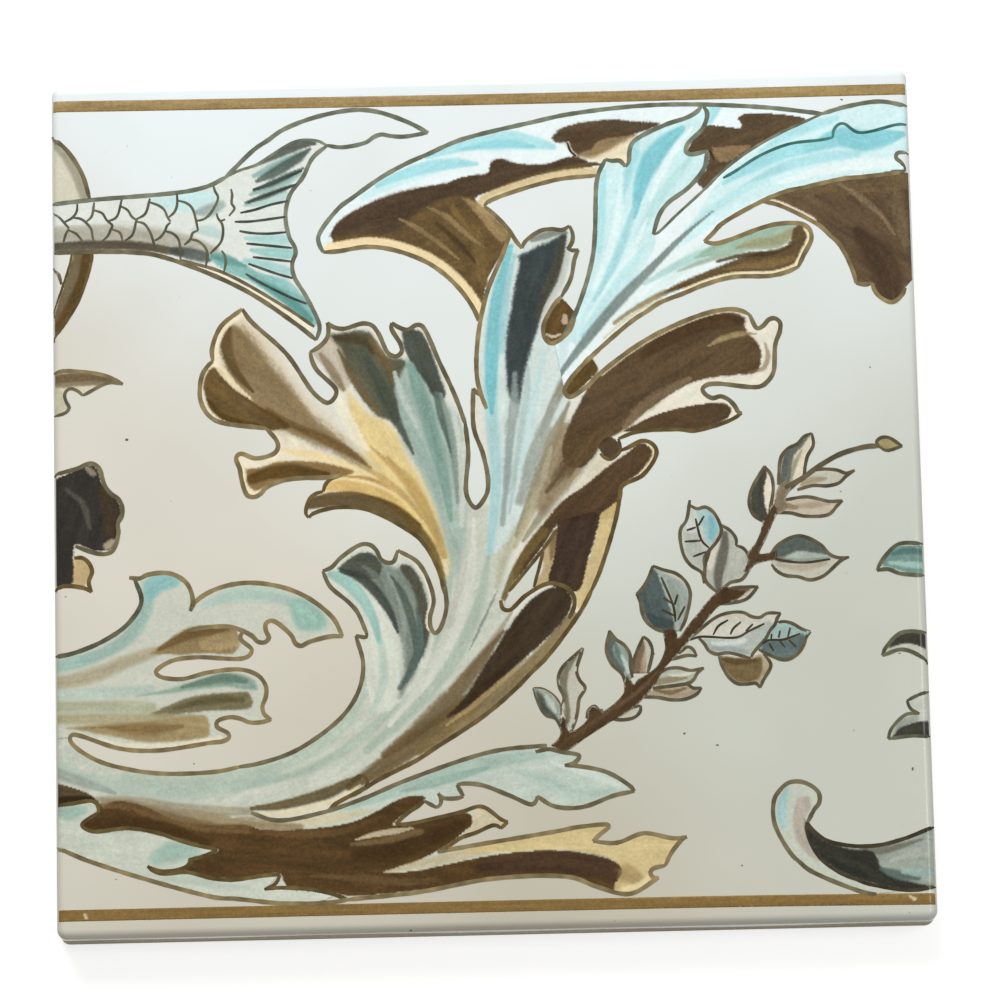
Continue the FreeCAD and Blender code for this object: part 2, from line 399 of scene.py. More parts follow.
    "sprig.leaf_16": ("twig", .6, "32.7,-28.7 34.3,-27.5 35.2,-28 35.8,-29.2", "34.3,-29 31.3,-29.7"),
    "sprig.leaf_17": ("twig", .6,
        "34.7,-26 40,-22.1 44,-21.6 45.6,-22.4 47,-22.6 48.3,-21.9 50.7,-21.9",
        "50.1,-22.7 49.7,-23.8 48.7,-25 48,-26.3 45.8,-28.7 45.2,-29.8",
        "41.3,-28.7 39.3,-28.9 38,-28.3 37.2,-27 36.3,-26"),
    "sprig.leaf_18": ("twig", .6,
        "39.7,-29.3 40.2,-31 41.3,-33 42.8,-34.2 44.7,-34.3 46,-34.2 46.7,-35",
        "47.3,-33.7 48.7,-31 47.5,-29"),
    "sprig.leaf_19": ("twig", .6,
        "49.7,-23.8 51,-23.4 52.7,-23.8 54.3,-24.8 55.8,-25.3",
        "55,-26.3 54.5,-27.7 53.3,-29.3 51.3,-30.2 48,-29 46.7,-28.2"),
    "sprig.foot_tall": ("twig", .6,
        "12,-37.7 12.5,-36 11.7,-34 11.6,-32.3 12.3,-30.7 16,-27.3",
        "14.8,-31.3 15.3,-33 16.2,-34.3 15.1,-36.3 14.8,-38.3 14.3,-40.3 13.5,-42"),
    "sprig.foot_small": ("twig", .6,
        "12,-41.7 11,-39.7 9.3,-39 8.2,-37.3 7.2,-34.2",
        "9,-34.5 10.7,-35.7 11.7,-37.3 11.8,-39"),
}

# Short fine lines, each by itself: ink, width, runs
FINE_LINES = [
    ("scale", .45,
        "-76.1,53.2 -75,52.3 -73.2,50.2",
        "-71.7,54.6 -71.8,53.3 -72.5,52.2 -74,51.3",
        "-72.5,52.1 -71,51.8 -69.3,50 -69,48.3 -68.7,47.5",
        "-68.7,54.8 -69.2,52.2 -70.2,51.3",
        "-68.8,53.4 -67.3,52.8 -66.5,51.5 -65.5,50.5 -65.8,49.8 -66.3,48.7 -67.3,47.7",
        "-63.8,55.2 -64.8,52 -66.3,51.3",
        "-64,54 -62.8,53.3 -62,52 -61,51.3",
        "-65.5,49.8 -64.2,49.2 -63.7,47.7",
        "-61.2,51.7 -62,48.7 -63.3,47.7",
        "-58.8,55.3 -59.7,52.5 -61.4,51.5",
        "-58.8,54.6 -57.3,54 -56.3,53.2 -55.7,51.8 -55.2,51",
        "-61.2,51.1 -60,50.8 -59,49.5 -57.8,45.8",
        "-55.2,50.8 -55.8,50.3 -56.2,49.3 -57,48.2 -58,47.6",
        "-54,56.2 -54,54 -54.5,52.7 -55.5,51.8",
        "-53.8,54.8 -52.3,54.3 -51.3,53.3 -50.3,49.3",
        "-50.3,49.3 -51.3,48.8 -51.7,47.7 -52.8,46.7",
        "-56.2,49.3 -54.8,48.8 -53.8,47.7 -53.5,44.2",
        "-47.5,57.3 -47.2,56.3 -46.7,55.2 -48.2,52.2 -49.3,51.3 -50.7,51",
        "-51.7,47.7 -50.3,47.3 -49.2,46.3 -48.7,45 -49.1,42.4",
        "-47,52.3 -46.8,51.5 -46,50.2 -46.2,47.3 -48.2,45",
        "-46.5,50.8 -45.5,51.2",
        "-44.4,56.7 -44.2,55.7 -44.3,54 -43.8,53.2 -44.8,51.8",
        "-46.2,45.5 -45.7,44.7 -45.5,43.3 -45.8,41.7",
        "-73.2,50.1 -73.7,49.3 -74.2,47.7",
        "-73.2,49.8 -72,49.2 -70.6,47.5"),
    ("ray", .45,
        "-40.5,56.5 -38.3,57.2 -31.7,59.8",
        "-41.5,54.2 -32.8,57.3",
        "-42.8,52.3 -40.3,52.8 -37.3,53.7 -34.3,54.3",
        "-43.8,50.7 -41,50.7 -34.8,51.4",
        "-43,49 -41,48.6 -38,48.4 -34.7,48.6",
        "-41.8,46.7 -33.7,45.7",
        "-40.7,44.2 -33.7,43.2",
        "-41.5,43 -36.3,41 -33.7,40.2",
        "-42,41.2 -39.7,39.7 -34.3,36.8 -31.3,35.5"),
    ("dark", .42,
        "36.3,-4.7 37.3,-8.7 38.5,-10",
        "34.7,-6.8 36.3,-6.3",
        "34.3,-8.8 37.2,-8.7",
        "35.7,-11.5 38,-10.7",
        "36.8,-6 37.8,-4.3",
        "49.3,-12 52,-12.7 55.3,-13 59.7,-12.5",
        "30,-15 32,-20.3 32.3,-23",
        "30.3,-18.7 31.7,-19.7",
        "32.8,-18.2 32.2,-20",
        "30,-20.8 32.2,-22",
        "34,-20.3 32.7,-22.7",
        "34.7,-26.3 36.3,-25.8 43,-26 45,-25 47.8,-23.7",
        "38.8,-25.5 39.7,-24 41.5,-22.9",
        "41.8,-25.5 42.3,-24.5 43.7,-23.3",
        "44.5,-25 45.8,-23.7",
        "46.7,-27.8 48.3,-26.7 51,-26.6 54,-25.6",
        "48.5,-27.2 49.3,-28.6",
        "50.3,-26.7 51.3,-28",
        "52,-26.7 53.2,-28",
        "48.9,-26.5 49,-25.5",
        "50.2,-26.3 50.5,-25",
        "51.8,-26.2 52.3,-24.5",
        "15.5,63.8 16,62.3 17,61.3",
        "40.8,61.8 41.5,60"),
    ("twig", .9, "52,.3 55.7,2.3 57.3,3.5 62,6.2 67,7.5 69,7.5"),
]

# The branch of the sprig as closed outlines
BRANCH_LOW = ("10,-44.3 11.2,-43.3 11.7,-42.3 11.6,-40.8 12.2,-39.3 12.9,-40.3 13.1,-41.8 14.3,-41.7 "
              "16.5,-39.8 16.6,-38.4 17.3,-37.6 18.2,-37.9 18.9,-38.6 22.9,-35.4 23,-33.8 23.5,-32.3 "
              "24.3,-33.3 24.7,-33.9 25.5,-33 27,-32.2 29,-30.6 30.3,-27.8 30.2,-24.4 31.5,-24.1 "
              "32.4,-24.6 32.6,-25.9 34.3,-23.9 38.5,-18.9 40.2,-17.5 41.2,-16.8 42.5,-17.5 44.6,-17.8 "
              "43,-19.4 40,-20.4 37.8,-22.7 32.7,-28.6 30.3,-31 28.6,-33.7 24.8,-37.9 20.2,-40.6 16,-43.2 "
              "12.8,-45.3 11.3,-45.2")
BRANCH_TOP = ("44.4,-14.3 45.2,-12.8 45.3,-11 46.6,-9.5 47.6,-7.4 48.2,-5.2 49,-4 50,-2.6 50.7,-3.8 "
              "49.8,-5.8 48.7,-8.4 47.4,-11.2 49,-11.1 50.3,-10.7 50.1,-12.2 48,-12.7 46.3,-13.3 "
              "45.2,-14.7")
BRANCH_TIP = "49.6,-3.8 51,.6 52.4,1.7 53.2,.4 52.3,-1.3 52.2,-3.2 50.8,-4.3"

# The eye between the frond and the scroll
EYE = "14,18.6 16.6,23 18.4,25 20,22.3 18,20.3 16,18.2 14.9,17.6 14.2,17.8"

# Enamelled areas of each piece: loops of whole lines, stretches of lines, closed outlines and points
AREAS = {
    "fish_tail": [("fish.back", "fish.fin_top", "fish.fin_edge", "fish.belly")],
    "top_frond": [
        ("frond.top", "frond.tip_top", "frond.hook", "frond.hem",
         ("frond.lobe", (39.3, 45.2), (13.9, 18.7)), (12.3, 27.4),
         ("frond.crown", (13.7, 28.1), (20.4, 57.7)), ("frond.under", (20.4, 57.7), (4.7, 48.2)),
         ("scroll.tall_left", (5, 47.7), (-0.5, 32)), "frond.keel"),
        ("frond.right_leaf", (75.9, 37.5), (75.9, 57), ("frond.hem", (74.3, 57), (49.7, 52.3))),
    ],
    "acanthus_scroll": [
        ("scroll.lobe_a_right", "scroll.gap", ("scroll.tall_left", (-0.9, 18.7), (5, 47.7)),
         ("frond.under", (4.7, 48.2), (7, 44.7)), "scroll.tall_top",
         ("scroll.drop", (13.8, 35.8), (12.3, 27.4)),
         ("frond.lobe", (13.9, 18.7), (46.9, 31.7)), "scroll.lobe_g", "scroll.lobe_h",
         ("scroll.ball", (23.2, 9.9), (23.4, 7.7)), "scroll.lobe_i",
         ("scroll.stem_right", (17.8, -17), (-28.7, -54.7)), ("lower.pale_top", (-28.2, -54.7), (9.3, -44.3)),
         "lower.pale_tip", "lower.brown_tip", "lower.ochre", "lower.brown_low", (-75.9, -41.3),
         ("left_leaf.fingers", (-73.7, -41.3), (-44.3, -46.9)),
         ("scroll.stem_left", (-44.3, -46.9), (-29.2, -12.6)),
         "scroll.side_leaf", ("scroll.lobe_f", (-8.3, -15), (-25.7, 4.4)), "scroll.lobe_e",
         "scroll.lobe_a_left"),
        (EYE,),
        ("scroll.drop", (13.8, 35.8)),
        ((-75.9, -53), (-72, -52.4), (-69.2, -52.7), (-69, -54), (-71.5, -56.5), (-70, -57.5), (-63.7, -57.2),
         (-57.7, -58.4), (-51.7, -60.5), (-48.4, -61.4), (-53.3, -62.9), (-52.8, -63.5), (-54, -64.7),
         (-52, -65.4), (-48.7, -66.4), (-45, -66.6), (-37.6, -66), (-40, -68.4), (-36, -68.2), (-27.7, -69.7),
         ("lower.long_curve", (-31, -70.7), (-75.9, -59.5))),
    ],
    "left_leaf": [
        (("left_leaf.lobes", (-63.1, -13), (-43.3, -22.9)),
         ("left_leaf.fingers", (-43.3, -22.9), (-73.7, -41.3)),
         (-75.9, -41.3), (-75.9, -26.8), "left_leaf.shoulder"),
    ],
    "leaf_sprig": [
        *((key,) for key in LINES if key.startswith("sprig.")), (BRANCH_LOW,), (BRANCH_TOP,), (BRANCH_TIP,),
    ],
    "corner_curl": [
        ("curl.rim", ("curl.stem_low", (54.2, -58.8), (71.7, -71.1))),
        ("curl.stem_top", "curl.stem_low"),
    ],
    "edge_leaves": [
        ("edges.half_leaf", ("fish.back", (-69.5, 55.3), (-76.3, 54.6))),
        ("edges.curl_out", "edges.curl_in"),
        ("edges.tip_top", "edges.tip_low"),
        ("edges.blob", "edges.tab"),
        ("edges.teal_leaf",), ("edges.dark_leaf",), ("edges.leaf_tips",),
    ],
}

# Gold bands: half width, then the middle line of each
BAND_HALF = 1.0
BANDS = {
    "upper": [(-75.9, 72.5), (-44, 72.3), (0, 72.1), (16, 72.1), (46, 72.2), (75.9, 72.3)],
    "lower": [(-75.9, -72.25), (-43, -72.25), (13, -72.25), (46, -72.35), (75.9, -72.65)],
}


def read_points(text):
    """Points from a text of x,y pairs."""
    return [tuple(float(v) for v in pair.split(",")) for pair in text.split()]


def wash(colour, cover=0.9):
    """An even tint over the whole of a piece."""
    return {"kind": "wash", "colour": colour, "cover": cover}


def stroke(colour, widths, points, soft=0.8, streak=0.25, cover=0.85):
    """A brush stroke along the points, with its half widths from start to end."""
    return {"kind": "stroke", "colour": colour, "widths": [float(w) for w in widths.split()],
            "points": read_points(points), "cover": cover, "soft": soft, "streak": streak}


def rim(colour, width, line, ends, soft=0.25, streak=0.0, cover=0.95):
    """A clean edge along a printed line, between the two points of it that are nearest to the ends."""
    return {"kind": "rim", "colour": colour, "widths": [width], "line": line, "ends": read_points(ends),
            "cover": cover, "soft": soft, "streak": streak}


def patch(colour, feather, points, cover=0.9):
    """A tint inside a closed shape, faded over the feather at its edge; no colour leaves the glaze bare."""
    return {"kind": "patch", "colour": colour, "feather": feather,
            "points": read_points(points), "cover": cover}


PAINT = {}
PAINT["fish_tail"] = [
    wash("#D9DED7"),
    stroke("#A6A292", "1.4 1.9 1.8 1.5 .9", "-76.2,49 -67,48.9 -58,48.1 -52,46.8 -47.5,45.3", .95),
    stroke("#BFE0E0", ".6 1.3 1.6 1", "-58,54.6 -55,54.4 -51,54.6 -47.8,55.3"),
    stroke("#B5CBC7", ".5 1.1 .7", "-51,49.3 -48.3,49 -46.5,48.3", .9),
    stroke("#93A59F", ".5 1.2 .8", "-50.5,52.6 -48,53 -46.3,53.8", .9),
    stroke("#EEE5CB", ".3 .6 .6 .6 .5", "-54,43.6 -48,41.6 -42,38.9 -36,34.9 -31,31", .4),
    stroke("#453C2C", ".9 .9 .8 .7", "-76.2,46.9 -68,47 -60,46.5 -53.5,45.3", .6),
    stroke("#4B524D", ".8 1.1 1 .6", "-54.5,45.7 -52,45.2 -50,44.6 -48.5,44.1", .6),
    # lower wing of the tail
    patch("#7FB2AB", .5, "-48.8,44.6 -46.3,45.2 -40,41.6 -36.5,40.2 -34,38.4 -31.3,36.3 -29.3,33 -30,31.4 "
        "-36,36 -41,39.7 -45.7,41.8"),
    stroke("#5A8F88", ".3 .7 .9 .6", "-41,40.4 -37,38.1 -33.5,35.4 -30.7,32.6", .7),
    stroke("#6A9C94", ".5 .8 .3", "-47.8,44.5 -45,43.6 -42,42.6"),
    stroke("#8FC0C0", ".4 .9 .5", "-38,40.6 -35.3,39.3 -33,37.7"),
    # rays
    stroke("#9CC9C5", ".5 .9 .8", "-42,43.6 -38,42.6 -34.3,41.4", .7),
    stroke("#8FC1BC", ".3 .9 1", "-41,45.5 -38,45 -34.3,44.6", .7),
    stroke("#A3CDC9", ".3 .9 .9", "-42,47.7 -38,47.3 -34.6,47.2", .7),
    stroke("#A9C4BF", ".3 .7 .8", "-42,53.6 -38,54.3 -35,55.4", .7),
    stroke("#8FAFA8", ".3 .9 1 .6", "-41,55.6 -37.5,57 -34.5,58.3 -32.3,59.3", .7),
    stroke("#87AAA3", ".4 1 1 .5", "-40.3,59 -37,60.3 -34,61.7 -31.5,63"),
    stroke("#4B5952", ".3 .9 1.1 .9 .3", "-39.8,58 -37,59.4 -34.5,60.8 -32.3,62.2 -30.3,63.7", .6),
    stroke("#444A42", ".5 1 1.1 .9 .3", "-40.5,61 -36.8,62.9 -33.7,64.2 -31,64.9 -29.3,64.7", .4),
    stroke("#414F48", ".3 .6 .5 .2", "-40.3,56.4 -37,57.6 -34,59 -31.5,60.2", .6),
    stroke("#46564F", ".3 .55 .45 .15", "-41.7,54.1 -38.3,55.3 -35.5,56.3 -33.2,57.2", .6),
]

PAINT["top_frond"] = [
    wash("#E3EFF0"),
    # long leaf to the left
    stroke("#C5E6E9", ".6 1 .9 .4", "-21,54.6 -15,57.4 -9,59.3 -3,60.4", .9),
    stroke("#9CD7DE", ".4 1 1.2 .9 .4", "-18.5,56.7 -13.5,58.8 -8.5,60.1 -4,60.5 -.7,60.3", .6),
    stroke("#A4DADF", ".4 1 1.4 1.7 1.3 .6", "-9.5,61.7 -4.5,63.3 1,64.2 5,64.7 9,64 13,63.1", .6),
    stroke("#8FCFD8", ".2 .6 .8 .4", "-4,63 1,63.7 5,63.9 9.5,63.2", .9),
    patch("#5E4A2B", .3, "-26.9,48.2 -25.7,49.9 -20.3,53.3 -10.3,56.3 -6,56.9 -4.3,57.7 -1.7,58.2 .7,58.2 "
        "1.4,58.9 1.6,60 2.5,60.9 3.8,61.1 5.7,60.4 11.3,60 16.8,61.3 18.7,60.4 21.8,59.8 9.7,57.8 "
        "3.5,55.7 -1,54 .5,52 4.5,47.5 4,45 .7,39 -.5,34 -2,34.5 -5,38.5 -9,42 -14,44.7 -20,45.8 "
        "-26,46", .97),
    patch("#4C3D2F", .7, "-27,47.6 -25.7,50 -20.3,53.4 -13.7,55.6 -6,57 -1.7,58.2 1.4,58.9 2,60.7 "
        "3.8,61.1 7.5,60 11.3,60 16.8,61.3 19,60.3 14,59.3 8,57.9 -1.5,54.3 -5,54.4 -9,53.2 -12,51.2 "
        "-14.5,48.8 -17.5,47.8 -22,48"),
    stroke("#6E5A38", ".5 1.3 1.3 .6", "-5,52.5 -2.5,48.5 -.5,44 .3,38.5", .9, streak=.6),
    stroke("#887551", ".15 .45 .4 .15", "-14.7,50.6 -11.3,48.7 -7.7,46 -4.3,43", .7),
    stroke("#887551", ".15 .5 .4 .15", "-9.6,52.6 -6.3,50.8 -3,47.7 .3,45", .7),
    stroke("#463723", ".3 .6 .3", "-8,49.5 -4.5,46.3 -1.5,42.5", .9, streak=.5),
    rim("#F1DDB1", 1.75, "frond.keel", "-26.5,44.9 -1,31.7"),
    rim("#D3BF93", 1.55, "frond.under", "20.4,57.7 .5,52.5"),
    patch("#96805A", .5, "-3.6,54.3 -.5,53 2.8,50 5,47.3 3.6,45.8 -1,51.3"),
    # brown patch left of the crown
    patch("#E6D9B8", .4, "18,60.7 22,60 26,58.8 27,64 28,65 22,65"),
    patch("#80694A", 1.2, "17,61.3 19.7,60.9 24.7,63.4 27.5,65 20,66 15,65"),
    patch("#4F3F2C", .5, "12.5,64.8 14.3,66.3 17.3,67.3 24,67.9 27.3,67.5 32,66.9 27,65 21,64 19.7,62.5 "
        "18.3,62.2 17.2,61.6 16,62.6 15.5,63.8 13.7,63.8", .96),
    stroke("#D8CDB6", ".2 .3 .2", "15.6,63.9 16,62.7 17,61.4", .6),
    # crown leaf
    patch("#C6E5E7", .4, "39.6,69.7 33,66.6 28,64.2 26.3,60 21.8,59.7 20.3,53.7 20,47 18,37.3 14.5,29 "
        "17,26.5 23.7,34.2 30.3,44 31.5,50.3 38.3,56.7 40,61 36.8,61.3 37.5,64 40.3,67.5"),
    stroke("#9FD5DB", ".4 .8 .8 .4", "28,64.3 27.3,61 26,57.3 24.7,53", .7),
    stroke("#E2F1F1", ".3 .7 .7 .3", "37.8,66 34.7,62.3 32,58 30,53"),
    stroke("#B4DBDA", ".3 .8 .9 .5", "38.3,61.8 35,57.7 31.5,53.2 28.7,48"),
    stroke("#74BDC8", ".5 1.5 1.9 1.5 1 .4", "36,66 32.8,63.3 30.5,60.5 29,57.5 27.9,54 27,50", .6),
    stroke("#A3D5DA", ".4 .8 .8 .5", "27.3,52.5 25.5,47 23,41 19.7,35"),
    stroke("#DDF0F0", ".3 .7 .7 .4", "25,57.5 24.3,51 22.5,44 19.5,37"),
    stroke("#A9D9DD", ".5 .8 .6", "21.8,58.3 21.2,51 20.6,44", .7),
    stroke("#DCEFEF", ".2 .6 .7 .4", "29.3,49.5 26.7,44 22.3,37.3 18,31"),
    stroke("#B9DEE0", ".4 .8 .7 .4", "28.3,44 24.5,39 20.5,33.5 17,28.5"),
    stroke("#C5DCDC", ".6 .9 .9", "16,31 14,27 13.2,23", .9),
    patch(None, .25, "30.3,46.7 31.5,50.3 33,52.3 37,55.3 38.3,56.7 39.7,54.8 34.7,50.3 31,46.9", 1),
    # brown patch behind the crown's nose
    patch("#51402B", .25, "37,62.5 39.7,66.2 46.6,66 45.9,67.6 47.3,68.4 58,67.1 54,65.1 45,59.8 42,57 "
        "39.8,54.8 38.3,56.2 40,58.5 40.4,61.8 38.5,61.3 36.8,61.5", .96),
    patch("#8C7455", .5, "41.2,62.4 41.6,60.7 42.6,59.7 44.3,59.8 46,60.9 48,62.4"),
    stroke("#9AD2DA", ".6 1 .7", "41,67.2 41.5,68.7 42.5,69.9"),
    # blue tip
    patch("#CBE8EA", .3, "43,57.6 50,62.4 61,68 68,70 76,69 76,60 74,59.5 74.5,57.5 66,56.8 49,52.6 "
        "42,48.8 38,46 34,44 38,50"),
    stroke("#AADDE2", ".3 .9 1 .5", "49.5,61.3 54,64 59,65.9 63.5,67.2", .7),
    stroke("#79BEC8", ".6 1.8 2 1.6 .6", "58,61.7 64.3,63.7 68,62.9 71.5,63.4 75,64", .6),
    stroke("#97D3DA", ".3 1 1.3 1.2 .8", "43,55.7 48,58.6 53,60.9 58,61.9 63,62.6", .6),
    stroke("#A5D6DC", ".3 1 1 .6", "46,54.8 53,58.2 60,60 67,60.6"),
    stroke("#E3EEEE", ".3 .9 1.1 .8", "53,55.6 61,57.7 68,58.7 74.5,59.2"),
    stroke("#B7DFE1", ".3 .8 .7 .4", "36,47 41,51 46,54.2 51,56.3"),
    # rib and lower lobe
    patch("#D5E8E6", .6, "22,30.5 30,37 37,44 41,45 46,46.5 38,41 30,35.5"),
    stroke("#A9CFC8", ".3 .7 .8 .5", "28.5,37.7 33,40.3 38,42.7 43,44.5"),
    patch("#93AF9A", .7, "37.5,42.3 41,44.7 50,47.9 54.7,48.4 56,47.5 53,44 46,43.3 42,42.5"),
    stroke("#989672", ".4 .8 1 .9", "45,43.9 49,44.7 52.5,45.2 54.8,46.3", .9, streak=.5),
    stroke("#9FB39F", ".2 .5 .4 .2", "34.5,39.9 38.5,41.4 42.5,42.5 46.5,43.3"),
    stroke("#8A7B56", ".3 .5 .6 .5", "23,30.8 27.5,33.8 32,36 36.5,37.8", streak=.5),
    patch("#57452A", .6, "31,35.6 35,37.8 49,43.1 53,43.5 54.6,45 55.3,47.3 56.6,47.9 57.9,46.5 55.6,40.5 "
        "46,39.3 41,38.6 36,36.9", .95),
    stroke("#826A43", ".2 .7 .9 .5", "42.5,40 46.5,40.6 51,40.9 55,41.8"),
    stroke("#4A3820", ".3 .5 .5 .3", "41.5,41.5 46,42.5 51,42.8 54.5,44"),
    rim("#E9DDB8", .85, "frond.lobe", "57.5,47.3 36,36.1"),
    stroke("#CBBB90", ".2 .35 .2", "21,28 26,32 31.5,35", cover=.6),
    stroke("#6B7873", ".15 .4 .7 .9 .9 .6 .3", "41,50.7 35.5,46.2 29.5,40.3 24,34.8 19,29 15.5,24.8 "
        "12,20", .6),
    # right leaf
    patch("#594732", .2, "50,52.4 54.7,50.9 59.7,47.8 63.3,44.1 65.5,39 66,37 68.7,37 69.2,35.5 72.2,33.4 "
        "76,34 76,57 68.3,56.4 60.7,55.5 54,54", .97),
    stroke("#6B5A40", ".5 1.2 1.5 1.4", "55,53.4 61,54.2 67,54.8 75,55.3", .9, streak=.5),
    stroke("#47372A", "1 2.6 2.6 1.8", "66.5,46.5 69.5,42.5 71.5,38.5 72,35"),
    stroke("#8C795C", ".2 .6 .5 .2", "63.5,55.2 67.3,52.6 70.5,49.5 73,45.8", .9, cover=.7),
    stroke("#6A5C43", ".5 1.2 .6", "73.5,54 74,49.5 75,44", .9),
    rim("#E6DCC4", .75, "frond.right_leaf", "50.5,52.2 58.5,48.6"),
]

